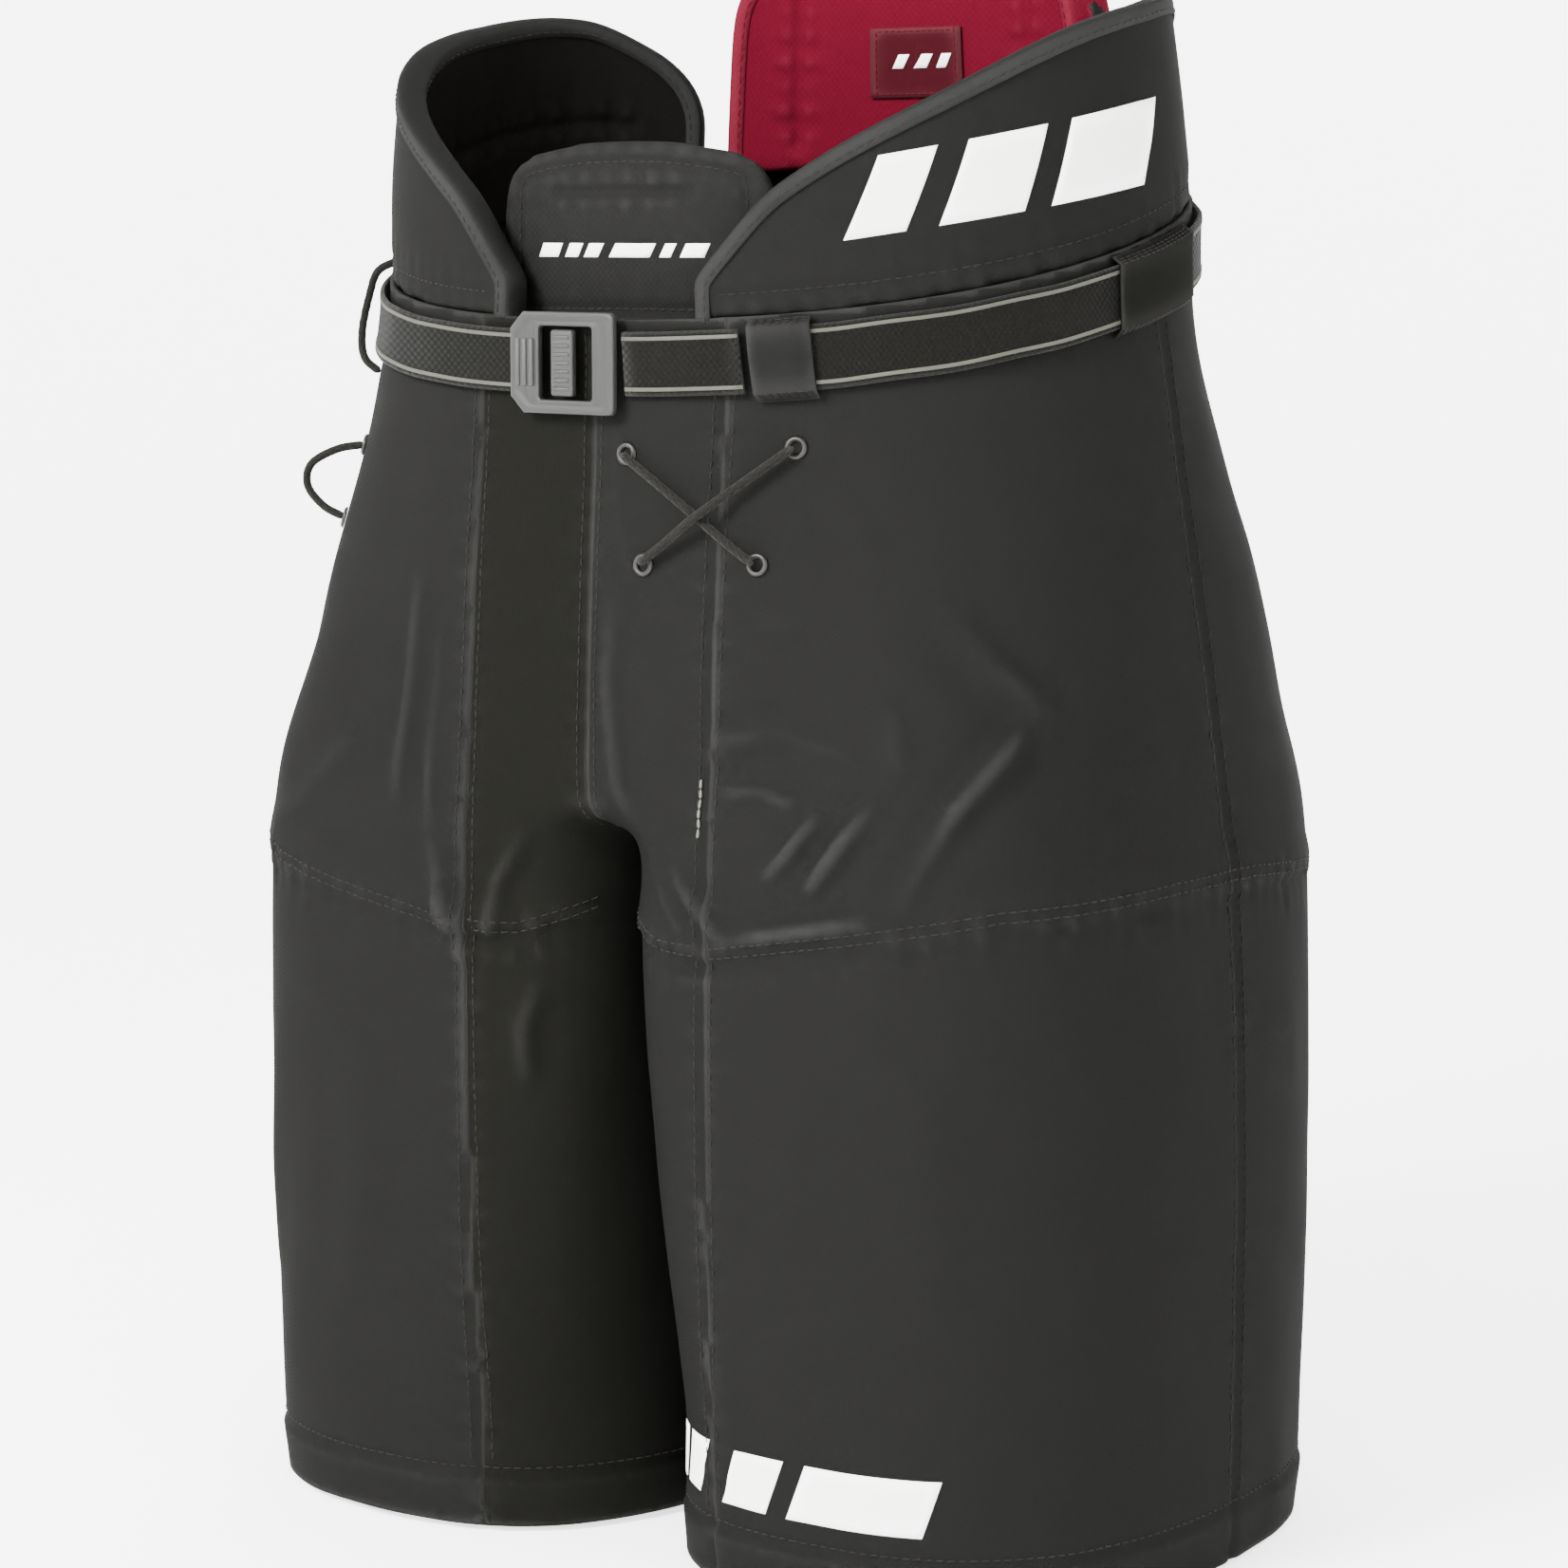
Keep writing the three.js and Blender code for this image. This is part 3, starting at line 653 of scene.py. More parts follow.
# %% Where the seams and folds are
PANEL_EDGE = 0.060
CROSS_SEAM = [(-0.004, -0.125, 0.262), (0.035, -0.140, 0.250), (0.066, -0.140, 0.250), (0.132, -0.139, 0.262),
              (0.180, -0.116, 0.272), (0.218, -0.044, 0.276), (0.222, 0.02, 0.276), (0.205, 0.090, 0.270)]
FOLDS = [
    # places, width, height
    ([(0.186, -0.095, 0.356), (0.165, -0.122, 0.318), (0.146, -0.135, 0.278)], 0.0070, 0.0068),
    ([(0.138, -0.139, 0.322), (0.122, -0.141, 0.300), (0.108, -0.143, 0.282)], 0.0060, 0.0056),
    ([(0.114, -0.140, 0.316), (0.100, -0.142, 0.298), (0.088, -0.143, 0.286)], 0.0050, 0.0042),
    ([(0.058, -0.139, 0.336), (0.088, -0.141, 0.345), (0.126, -0.138, 0.338)], 0.0070, 0.0056),
    ([(0.064, -0.139, 0.318), (0.084, -0.141, 0.322), (0.104, -0.139, 0.316)], 0.0050, 0.0032),
    ([(0.078, -0.137, 0.384), (0.112, -0.134, 0.391), (0.150, -0.122, 0.404)], 0.0070, 0.0050),
    ([(0.096, -0.128, 0.458), (0.112, -0.128, 0.430), (0.128, -0.124, 0.405)], 0.0090, 0.0052),
    ([(0.070, -0.139, 0.262), (0.100, -0.143, 0.268), (0.140, -0.138, 0.276)], 0.0055, 0.0042),
    ([(0.040, -0.140, 0.290), (0.058, -0.141, 0.272), (0.076, -0.142, 0.258)], 0.0060, 0.0040),
    ([(0.020, -0.138, 0.300), (0.034, -0.140, 0.280), (0.052, -0.141, 0.262)], 0.0060, 0.0034),
    ([(0.150, -0.118, 0.402), (0.172, -0.105, 0.372), (0.190, -0.085, 0.345)], 0.0100, 0.0046),
    ([(0.200, -0.060, 0.395), (0.212, -0.050, 0.360), (0.219, -0.030, 0.320)], 0.0120, 0.0038),
    ([(0.128, -0.136, 0.372), (0.140, -0.133, 0.352), (0.146, -0.134, 0.330)], 0.0080, 0.0036),
    # the edge of the fly, from the belt down to the pocket
    ([(0.011, -0.131, 0.462), (0.013, -0.134, 0.425), (0.022, -0.136, 0.398), (0.036, -0.137, 0.384),
      (0.056, -0.137, 0.372)], 0.0030, 0.0026),
    ([(0.013, -0.137, 0.400), (0.011, -0.138, 0.360), (0.016, -0.139, 0.320), (0.030, -0.140, 0.285)],
     0.0075, 0.0036),
    ([(-0.090, -0.128, 0.400), (-0.094, -0.136, 0.350), (-0.096, -0.141, 0.300)], 0.0060, 0.0044),
    ([(-0.078, -0.135, 0.385), (-0.080, -0.139, 0.330), (-0.076, -0.141, 0.280)], 0.0050, 0.0030),
    ([(-0.120, -0.135, 0.330), (-0.150, -0.128, 0.300), (-0.175, -0.116, 0.285)], 0.0090, 0.0046),
    ([(-0.075, -0.140, 0.290), (-0.070, -0.141, 0.262), (-0.060, -0.141, 0.240)], 0.0070, 0.0046),
    ([(-0.030, -0.138, 0.300), (-0.044, -0.140, 0.275), (-0.050, -0.141, 0.245)], 0.0070, 0.0040),
    ([(-0.030, -0.130, 0.238), (-0.036, -0.134, 0.215), (-0.034, -0.136, 0.190)], 0.0080, 0.0036),
    ([(-0.185, -0.085, 0.360), (-0.200, -0.080, 0.320), (-0.210, -0.070, 0.285)], 0.0110, 0.0042),
    ([(0.075, 0.142, 0.300), (0.110, 0.145, 0.290), (0.150, 0.135, 0.296)], 0.0080, 0.0050),
    ([(-0.075, 0.142, 0.302), (-0.110, 0.145, 0.290), (-0.150, 0.135, 0.294)], 0.0080, 0.0050),
    ([(0.020, 0.138, 0.330), (0.066, 0.143, 0.314), (0.105, 0.144, 0.322)], 0.0070, 0.0046),
    ([(-0.020, 0.138, 0.330), (-0.066, 0.143, 0.312), (-0.105, 0.144, 0.320)], 0.0070, 0.0046),
    ([(0.030, 0.141, 0.300), (0.060, 0.144, 0.284), (0.090, 0.145, 0.280)], 0.0070, 0.0036),
    ([(-0.030, 0.141, 0.300), (-0.060, 0.144, 0.282), (-0.090, 0.145, 0.279)], 0.0070, 0.0036),
    ([(0.120, 0.128, 0.420), (0.150, 0.118, 0.395), (0.175, 0.100, 0.375)], 0.0100, 0.0040),
    ([(-0.120, 0.128, 0.420), (-0.150, 0.118, 0.395), (-0.175, 0.100, 0.375)], 0.0100, 0.0040),
    ([(0.060, -0.142, 0.120), (0.066, -0.143, 0.080), (0.070, -0.142, 0.040)], 0.012, 0.0020),
    ([(0.150, -0.130, 0.230), (0.158, -0.128, 0.170), (0.160, -0.128, 0.110)], 0.020, 0.0022),
    ([(0.108, -0.143, 0.225), (0.100, -0.143, 0.180), (0.104, -0.143, 0.140)], 0.016, 0.0016),
    ([(-0.170, -0.118, 0.200), (-0.180, -0.112, 0.140), (-0.184, -0.108, 0.090)], 0.016, 0.0026),
    ([(-0.120, -0.142, 0.210), (-0.116, -0.143, 0.150), (-0.124, -0.142, 0.090)], 0.014, 0.0018),
]


def cloth_waves(points):
    """Slow unevenness of cloth over foam, stretched along the height."""
    out = np.empty(len(points))
    for i, (x, y, z) in enumerate(points):
        slow = noise.noise(Vector((x * 14, y * 14, z * 8 + 3.1)))
        quick = noise.noise(Vector((x * 40 + 9.0, y * 40, z * 24)))
        out[i] = 0.0016 * slow + 0.0006 * quick
    return out


HEM_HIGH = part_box("hem_band_left")[1].z


def relief(points):
    """How far each point of the shell moves outwards."""
    x, y, z = points.T
    out = cloth_waves(points)
    for places, width, height in FOLDS:
        out += fold(points, places, width, height)
    out += seam_groove(np.abs(np.abs(x) - PANEL_EDGE), z, 0.0016)
    out += seam_groove(np.abs(y - 0.004), z, 0.0014) * (np.abs(x) > 0.15)
    for sign in (1, -1):
        line = [(sign * a, b, c) for a, b, c in CROSS_SEAM]
        distance, where, length = along_line(points, line)
        fades = ramp(where, 0, 0.02) * ramp(length - where, 0, 0.05)
        out += seam_groove(distance, where, 0.0022, 0.0026) * fades
        above = (z > np.interp(np.abs(x), [0, 0.07, 0.13, 0.22], [0.262, 0.250, 0.262, 0.276])) & (y < 0.09)
        out += 0.0016 * bump(distance, 0.010, 0.009) * above * (np.sign(x) == sign)
    out += seam_groove(np.abs(x), z, 0.0014) * (z > 0.29)
    under_belt = bump(z - belt_z(y), 0, 0.016)
    out = out * (1 - np.clip(1.3 * under_belt, 0, 1)) - 0.0012 * under_belt
    out += 0.0016 * ramp(-z, -HEM_HIGH - 0.001, -HEM_HIGH + 0.002) - 0.0010 * bump(z, HEM_HIGH, 0.0016)
    return out


moved = points_of(skin) + normals_of(skin) * relief(points_of(skin))[:, None]
set_points(skin, moved)
print("relief made,", len(FOLDS), "folds")

# %% [markdown]
# ## Cutting the shell into its panels
# The waist is cut along the belt's slope and the legs at the hems. Then the skin is cut at the
# centre and at the two panel seams, which gives four pieces that meet in real seams. The inner
# pair crosses from the fly to the crotch, and the outer pair wraps the hips and the legs.

# %% Cut
WAISTBAND = 0.017
HEM_LOW = 0.0022


def cut(mesh, place, normal):
    """Removes what lies on the side that the normal points to."""
    geometry = mesh.verts[:] + mesh.edges[:] + mesh.faces[:]
    bmesh.ops.bisect_plane(mesh, geom=geometry, plane_co=place, plane_no=normal, clear_outer=True, dist=1e-6)


def panel_of(source, name, planes, thickness):
    mesh = bmesh.new()
    mesh.from_mesh(source.data)
    for place, normal in planes:
        cut(mesh, place, normal)
    data = bpy.data.meshes.new(name)
    mesh.to_mesh(data)
    mesh.free()
    data.polygons.foreach_set("use_smooth", [True] * len(data.polygons))
    piece = bpy.data.objects.new(name, data)
    scene.collection.objects.link(piece)
    solid = piece.modifiers.new("thickness", "SOLIDIFY")
    solid.thickness = thickness
    solid.offset = -1
    solid.use_even_offset = False
    return apply_all(piece)


waist_cut = (Vector((0, BELT_FRONT.y, BELT_FRONT.z + WAISTBAND)), Vector((0, -BELT_RISE, 1)).normalized())
hem_cut = (Vector((0, 0, HEM_LOW)), Vector((0, 0, -1)))
CLOTH = 0.0026
panels = {}
for side, word in ((1, "left"), (-1, "right")):
    middle = (Vector((0, 0, 0)), Vector((-side, 0, 0)))
    edge_out = (Vector((side * PANEL_EDGE, 0, 0)), Vector((side, 0, 0)))
    edge_in = (Vector((side * PANEL_EDGE, 0, 0)), Vector((-side, 0, 0)))
    panels[f"inner_{word}"] = panel_of(skin, f"shell_inner_{word}", [waist_cut, hem_cut, middle, edge_out],
                                       CLOTH)
    panels[f"outer_{word}"] = panel_of(skin, f"shell_outer_{word}", [waist_cut, hem_cut, edge_in], CLOTH)
bpy.data.objects.remove(skin)
print({name: len(piece.data.polygons) for name, piece in panels.items()})

# %% [markdown]
# ## Stitches
# A line of stitches is a row of tiny capsules that lie on the cloth. A ray from outside finds
# the cloth under each one, so they follow every groove and fold.

# %% Rays that find the cloth
from mathutils.bvhtree import BVHTree


def tree_of(*pieces_to_join):
    """A search tree over the faces of some pieces."""
    points, faces = [], []
    for piece in pieces_to_join:
        first = len(points)
        points.extend(v.co.copy() for v in piece.data.vertices)
        faces.extend([first + i for i in f.vertices] for f in piece.data.polygons)
    return BVHTree.FromPolygons(points, faces)


def on_cloth(tree, place, outward, lift):
    """The point of the cloth under a place, lifted off it, and the cloth's normal there."""
    outward = Vector(outward).normalized()
    hit, normal, _, _ = tree.ray_cast(Vector(place) + outward * 0.04, -outward, 0.09)
    if hit is None:
        return None, None
    return hit + normal * lift, normal


def capsule_row(line, length, gap, radius):
    """Points and faces of stitches along a line of (point, normal) pairs."""
    points, faces = [], []
    travelled, begin = 0.0, 0.0
    for (a, normal), (b, _) in zip(line[:-1], line[1:]):
        step = (b - a).length
        if step < 1e-7 or step > 0.02:
            continue
        way = (b - a) / step
        cross = way.cross(normal).normalized() * radius
        rise = normal.normalized() * radius
        while begin < travelled + step:
            centre = a + way * (begin - travelled)
            first = len(points)
            for along, swell in ((-0.5, 0.35), (-0.3, 1.0), (0.3, 1.0), (0.5, 0.35)):
                for i in range(5):
                    turn = math.tau * i / 5
                    points.append(centre + way * length * along
                                  + (cross * math.cos(turn) + rise * math.sin(turn)) * swell)
            faces.extend(ring_faces(4, 5, first))
            begin += length + gap
        travelled += step
    return points, faces


def stitched(name, lines, length=0.0030, gap=0.0014, radius=0.00032):
    points, faces = [], []
    for line in lines:
        made_points, made_faces = capsule_row(line, length, gap, radius)
        first = len(points)
        points.extend(made_points)
        faces.extend(tuple(first + i for i in face) for face in made_faces)
    return new_mesh(name, points, faces)


def between(places, spacing=0.004):
    """Evenly spaced points along straight stretches."""
    out = []
    for a, b in zip(places[:-1], places[1:]):
        a, b = Vector(a), Vector(b)
        count = max(int((b - a).length / spacing), 1)
        out.extend(a.lerp(b, i / count) for i in range(count))
    out.append(Vector(places[-1]))
    return out


# %% Stitch lines of the shell
STITCH_OFF = 0.0042
shell_trees = {1: tree_of(panels["outer_left"], panels["inner_left"]),
               -1: tree_of(panels["outer_right"], panels["inner_right"])}


def cloth_line(places, outward_of, lift=0.0002):
    line = []
    for place in places:
        point, normal = on_cloth(shell_trees[1 if place.x > 0 else -1], place, outward_of(place), lift)
        if point is not None:
            line.append((point, normal))
    return line

outer_lines = {1: [], -1: []}
inner_lines = {1: [], -1: []}
for side in (1, -1):
    for face in (-1, 1):
        out = lambda p, face=face: Vector((0, face, 0))
        top = belt_z(face * 0.13) + 0.012
        for x, lines in ((PANEL_EDGE + STITCH_OFF, outer_lines), (PANEL_EDGE - STITCH_OFF, inner_lines),
                         (STITCH_OFF, inner_lines)):
            low = 0.032 if x > 0.02 else 0.300
            lines[side].append(cloth_line(between([(side * x, face * 0.14, low),
                                                   (side * x, face * 0.14, top)]), out))
    for shift in (-STITCH_OFF, STITCH_OFF):
        out = lambda p, side=side: Vector((side, 0, 0))
        outer_lines[side].append(cloth_line(between([(side * 0.2, 0.004 + shift, 0.032),
                                                     (side * 0.2, 0.004 + shift, belt_z(0) - 0.016)]), out))
    for shift in (0.0045, 0.0085):
        places = [p + Vector((0, 0, shift)) for p in between([(side * a, b, c) for a, b, c in CROSS_SEAM])]
        line = cloth_line(places, lambda p, side=side: Vector((p.x - side * LEG_CENTRE, p.y * 1.1, 0)))
        outer_lines[side].append([pair for pair in line if abs(pair[0].x) > PANEL_EDGE + 0.002])
        inner_lines[side].append([pair for pair in line if abs(pair[0].x) < PANEL_EDGE - 0.002])
    for height in (HEM_HIGH + 0.003,):
        ring = [(side * (LEG_CENTRE + 0.1 * math.sin(t)), -0.13 * math.cos(t), height)
                for t in np.linspace(0, math.tau, 260)]
        line = cloth_line([Vector(p) for p in ring],
                          lambda p, side=side: Vector((p.x - side * LEG_CENTRE, p.y, 0)))
        for lines, keep in ((outer_lines, lambda x: x > PANEL_EDGE), (inner_lines, lambda x: x < PANEL_EDGE)):
            lines[side].append([pair for pair in line if keep(abs(pair[0].x))])
stitches = {}
for side, word in ((1, "left"), (-1, "right")):
    stitches[f"outer_{word}"] = stitched(f"stitches_outer_{word}", outer_lines[side])
    stitches[f"inner_{word}"] = stitched(f"stitches_inner_{word}", inner_lines[side])
    dress(stitches[f"outer_{word}"], "thread")
    dress(stitches[f"inner_{word}"], "thread")
print("stitch faces", sum(len(p.data.polygons) for p in stitches.values()))

# %% [markdown]
# ## The layers under the shell
# A black lining hangs inside each leg and the hips. Between it and the shell sit the guard
# plates and their foam, each a finer copy of its imported solid.

# %% Lining
LINING_DEPTH = 0.0172
lining_skin = body_solid(-LINING_DEPTH)
lining_skin.data.remesh_voxel_size = 0.006
bpy.ops.object.voxel_remesh()
inner_points = points_of(lining_skin)
inner_points = smoothed(inner_points, edges_of(lining_skin),
                        0.3 + 0.3 * bump(inner_points[:, 2], 0.335, 0.075), 14)
set_points(lining_skin, inner_points)
inner_move = np.array([0.0012 * noise.noise(Vector(p) * 30)
                       for p in inner_points]) - 0.0045 * ramp(-inner_points[:, 2], -0.44, -0.37)
inner_points = inner_points + normals_of(lining_skin) * inner_move[:, None]
set_points(lining_skin, inner_points)
lining_top = (waist_cut[0] - Vector((0, 0, 0.004)), waist_cut[1])
lining_low = (Vector((0, 0, 0.012)), Vector((0, 0, -1)))
for side, word in ((1, "left"), (-1, "right")):
    middle = (Vector((side * 0.0, 0, 0)), Vector((-side, 0, 0)))
    edge_out = (Vector((side * PANEL_EDGE, 0, 0)), Vector((side, 0, 0)))
    edge_in = (Vector((side * PANEL_EDGE, 0, 0)), Vector((-side, 0, 0)))
    panels[f"inner_lining_{word}"] = panel_of(lining_skin, f"lining_inner_{word}",
                                              [lining_top, lining_low, middle, edge_out], 0.0014)
    panels[f"outer_lining_{word}"] = panel_of(lining_skin, f"lining_outer_{word}",
                                              [lining_top, lining_low, edge_in], 0.0014)
bpy.data.objects.remove(lining_skin)
for name in [n for n in panels if "lining" in n]:
    dress(panels[name], "dark_lining")

# %% Plates and foam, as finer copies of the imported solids


PLATE_EDGE, PLATE_NEAR = 0.065, 0.080


def finer_copy(names, new_name, levels=2):
    """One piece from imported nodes, with enough points to bend, softened edges, and drawn in a
    little so that the smoothed shell covers it. Its edge near the inner panel moves outwards."""
    joined = bmesh.new()
    for name in names:
        joined.from_mesh(nodes[name].data)
    bmesh.ops.remove_doubles(joined, verts=joined.verts, dist=1e-5)
    data = bpy.data.meshes.new(new_name)
    joined.to_mesh(data)
    joined.free()
    piece = bpy.data.objects.new(new_name, data)
    scene.collection.objects.link(piece)
    smooth = piece.modifiers.new("finer", "SUBSURF")
    smooth.subdivision_type = "SIMPLE"
    smooth.levels = levels
    apply_all(piece)
    points = smoothed(points_of(piece), edges_of(piece), np.full(len(piece.data.vertices), 0.35), 3)
    if "thigh" in new_name or "side" in new_name:
        centre = np.array([math.copysign(LEG_CENTRE, points[0, 0]), 0, 0])
        tuck = 0.02 + 0.05 * ramp(points[:, 2], 0.25, 0.335)
    else:
        centre = np.zeros(3)
        tuck = 0.008 + 0.018 * ramp(-points[:, 2], -0.42, -0.34)
    points[:, :2] -= (points - centre)[:, :2] * tuck[:, None]
    if "tailbone" not in new_name:
        side = math.copysign(1, points[0, 0])
        out = side * points[:, 0]
        low = out.min()
        if low < PLATE_EDGE:
            near = out < PLATE_NEAR
            out[near] = PLATE_EDGE + (out[near] - low) * (PLATE_NEAR - PLATE_EDGE) / (PLATE_NEAR - low)
            points[:, 0] = side * out
    set_points(piece, points)
    piece.data.polygons.foreach_set("use_smooth", [True] * len(piece.data.polygons))
    return piece


outer_extras = {"left": [], "right": []}
for word in ("left", "right"):
    for kind, slot in (("hip_plate", "guard_plastic"), ("hip_foam", "foam"), ("thigh_plate", "guard_plastic"),
                       ("side_plate", "guard_plastic"), ("thigh_foam", "foam")):
        copy = finer_copy([f"{kind}_{word}"], f"{kind}_{word}_bending", 1)
        dress(copy, slot)
        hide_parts(f"{kind}_{word}")
        outer_extras[word].append(copy)
tail = finer_copy(["tailbone_plate"], "tailbone_plate_tucked", 1)
tail_points = points_of(tail)
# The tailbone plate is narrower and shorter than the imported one, and keeps to the slope of the seat.
TAIL_NARROWED, TAIL_SHORTENED, TAIL_TUCK, SEAT_SLOPE = 0.7, 0.4, 0.0025, 0.17
tail_rise = (tail_points[:, 2].max() - tail_points[:, 2]) * TAIL_SHORTENED
tail_points[:, 0] *= TAIL_NARROWED
tail_points[:, 1] -= TAIL_TUCK + SEAT_SLOPE * tail_rise
tail_points[:, 2] += tail_rise
set_points(tail, tail_points)
dress(tail, "guard_plastic")
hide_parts("tailbone_plate")
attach(tail, "pelvis")
print("layers made")

# %% [markdown]
# ## Padded flaps
# Four flaps stand above the belt: a kidney flap on each side, the tall spine guard with its red
# lining, and the grey tongue behind the fly. Each starts as a closed cushion a little thinner
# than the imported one. A cloth simulation with air pressure inside then rounds it, held along
# its rim, and the movement is limited so that it stays clear of its neighbours.

# %% Cushions bent round the hips
BAND_HALF, FLAP_GAP = 0.017, 0.0012
WING_TOP = np.array([[13, 0.518], [24, 0.553], [50, 0.590], [80, 0.618], [116, 0.629], [142, 0.604]])
WING_SPAN = (13, 142)
SPINE_HALF, SPINE_TOP = 33, 0.662
TONGUE_HALF, TONGUE_TOP, TONGUE_LOW = 22, 0.572, 0.452
CUSHION_VOXEL = 0.0042


def flap_low(angle):
    return hip_belt_z(angle) + BAND_HALF + FLAP_GAP - 0.0022


def rounded_corner(along, begin, drop):
    """How far an edge has dropped at a rounded corner that begins at begin and ends at 1."""
    t = min(max((along - begin) / (1 - begin), 0), 0.995)
    return drop * (1 - math.sqrt(1 - t * t))


def wing_top(angle):
    along = min(max(abs(angle), WING_SPAN[0]), WING_SPAN[1])
    return row_at(WING_TOP, along)[0] - rounded_corner(along / WING_SPAN[1], 0.93, 0.018)


def spine_top(angle):
    along = abs(angle - 180) / SPINE_HALF
    return SPINE_TOP - 0.016 * along**2 - rounded_corner(along, 0.78, 0.018)


def tongue_top(angle):
    along = abs(angle) / TONGUE_HALF
    return TONGUE_TOP - 0.009 * along**2 - rounded_corner(along, 0.70, 0.016)


def cushion(name, first, last, low, high, outside, inside, columns, rows):
    """A closed cushion between two angles, two heights and two depths."""
    points = []
    for depth in (outside, inside):
        for j in range(rows + 1):
            for i in range(columns + 1):
                angle = first + (last - first) * i / columns
                z = low(angle) + (high(angle) - low(angle)) * j / rows
                points.append(moved_out(hip_point, angle, z, depth))
    wide, layer = columns + 1, (columns + 1) * (rows + 1)
    faces = []
    for j in range(rows):
        for i in range(columns):
            a = j * wide + i
            faces.append((a, a + 1, a + wide + 1, a + wide))
            faces.append(tuple(layer + k for k in (a + wide, a + wide + 1, a + 1, a)))
    rim = [i for i in range(columns)] + [columns + j * wide for j in range(rows)]
    rim += [rows * wide + i for i in range(columns, 0, -1)] + [j * wide for j in range(rows, 0, -1)]
    for a, b in zip(rim, rim[1:] + rim[:1]):
        faces.append((a, a + layer, b + layer, b))
    piece = new_mesh(name, points, faces)
    for o in list(bpy.context.selected_objects):
        o.select_set(False)
    piece.select_set(True)
    bpy.context.view_layer.objects.active = piece
    piece.data.remesh_voxel_size = CUSHION_VOXEL
    bpy.ops.object.voxel_remesh()
    set_points(piece, smoothed(points_of(piece), edges_of(piece), np.full(len(piece.data.vertices), 0.5), 4))
    return piece


def rim_path(first, last, low, high, steps=120):
    """Points along the free edge of a flap, from its hinge up, over the top and down again."""
    pairs = [(first, low(first) + (high(first) - low(first)) * t) for t in np.linspace(0, 1, 10)[:-1]]
    pairs += [(a, high(a)) for a in np.linspace(first, last, steps)]
    pairs += [(last, low(last) + (high(last) - low(last)) * t) for t in np.linspace(1, 0, 10)[1:]]
    pairs = np.array(pairs)
    for _ in range(3):
        pairs[1:-1] = pairs[1:-1] * 0.5 + (pairs[:-2] + pairs[2:]) * 0.25
    return pairs


def puffed(piece, rim, pressure, cap):
    """Rounds the cushion with air pressure, held along its rim, by no more than cap."""
    before = points_of(piece).copy()
    distance, _, _ = along_line(before, rim)
    free = ramp(distance, 0.005, 0.028)
    hold = piece.vertex_groups.new(name="hold")
    for i, weight in enumerate(1 - free):
        if weight > 0:
            hold.add([i], float(weight), "REPLACE")
    air = piece.modifiers.new("air", "CLOTH")
    air.settings.vertex_group_mass = "hold"
    air.settings.quality = 5
    air.settings.tension_stiffness = 12
    air.settings.compression_stiffness = 12
    air.settings.shear_stiffness = 6
    air.settings.bending_stiffness = 0.4
    air.settings.use_pressure = True
    air.settings.uniform_pressure_force = pressure
    air.settings.effector_weights.gravity = 0
    air.point_cache.frame_start, air.point_cache.frame_end = 1, 20
    for frame_number in range(1, 21):
        scene.frame_set(frame_number)
    apply_all(piece)
    scene.frame_set(1)
    piece.vertex_groups.clear()
    moved = points_of(piece) - before
    length = np.linalg.norm(moved, axis=1) + 1e-9
    moved *= (cap * np.tanh(length / cap) / length)[:, None]
    set_points(piece, before + moved)
    finer = piece.modifiers.new("finer", "SUBSURF")
    finer.levels = 1
    apply_all(piece)
    piece.data.polygons.foreach_set("use_smooth", [True] * len(piece.data.polygons))
    print(piece.name, "moved by up to", round(float(np.linalg.norm(moved, axis=1).max()) * 1000, 1), "mm")
    return piece


def outward_at(points):
    """Unit vectors that point out of the hips at each point."""
    way = np.column_stack([points[:, 0] / 0.18**2, points[:, 1] / 0.128**2, np.zeros(len(points))])
    return way / np.linalg.norm(way, axis=1)[:, None]


def grooved(piece, lines, depth, width, side=0):
    """Presses stitched channels into a cushion; side 1 does the outer face, -1 the inner one."""
    points, normals = points_of(piece), normals_of(piece)
    facing_out = (normals * outward_at(points)).sum(1)
    chosen = np.ones(len(points)) if side == 0 else ramp(side * facing_out, 0.2, 0.7)
    move = np.zeros(len(points))
    for line in lines:
        distance, where, _ = along_line(points, line)
        move += seam_groove(distance, where, depth, width)
    set_points(piece, points + normals * (move * chosen)[:, None])


def part_of(piece, name, keep, thickness):
    """A piece made of some of the faces, with a thickness inwards."""
    mesh = bmesh.new()
    mesh.from_mesh(piece.data)
    mesh.faces.ensure_lookup_table()
    bmesh.ops.delete(mesh, geom=[f for f, k in zip(mesh.faces, keep) if not k], context="FACES")
    data = bpy.data.meshes.new(name)
    mesh.to_mesh(data)
    mesh.free()
    made = bpy.data.objects.new(name, data)
    scene.collection.objects.link(made)
    thick = made.modifiers.new("thick", "SOLIDIFY")
    thick.thickness, thick.offset = thickness, -1
    apply_all(made)
    made.data.polygons.foreach_set("use_smooth", [True] * len(made.data.polygons))
    return made


def depth_of(point):
    """About how far a point lies outside the outline of the hips; negative is inside."""
    half, front, back, squareness = row_at(HIP_ROWS, point[2])
    deep = front if point[1] < 0 else back
    ratio = (abs(point[0]) / half) ** squareness + (abs(point[1]) / deep) ** squareness
    return (ratio ** (1 / squareness) - 1) * math.hypot(point[0], point[1])


def cover_and_lining(piece, word, middle_depth):
    """Splits a finished cushion into its outer cover and its inner lining."""
    outer = np.array([depth_of(f.center) > middle_depth for f in piece.data.polygons])
    cover = part_of(piece, f"{word}_cover_cloth", outer, 0.0014)
    lining = part_of(piece, f"{word}_lining_cloth", ~outer, 0.0014)
    bpy.data.objects.remove(piece)
    return cover, lining


# %% Binding tape round the rim
TAPE_DEEP, TAPE_THICK = 0.0075, 0.0010


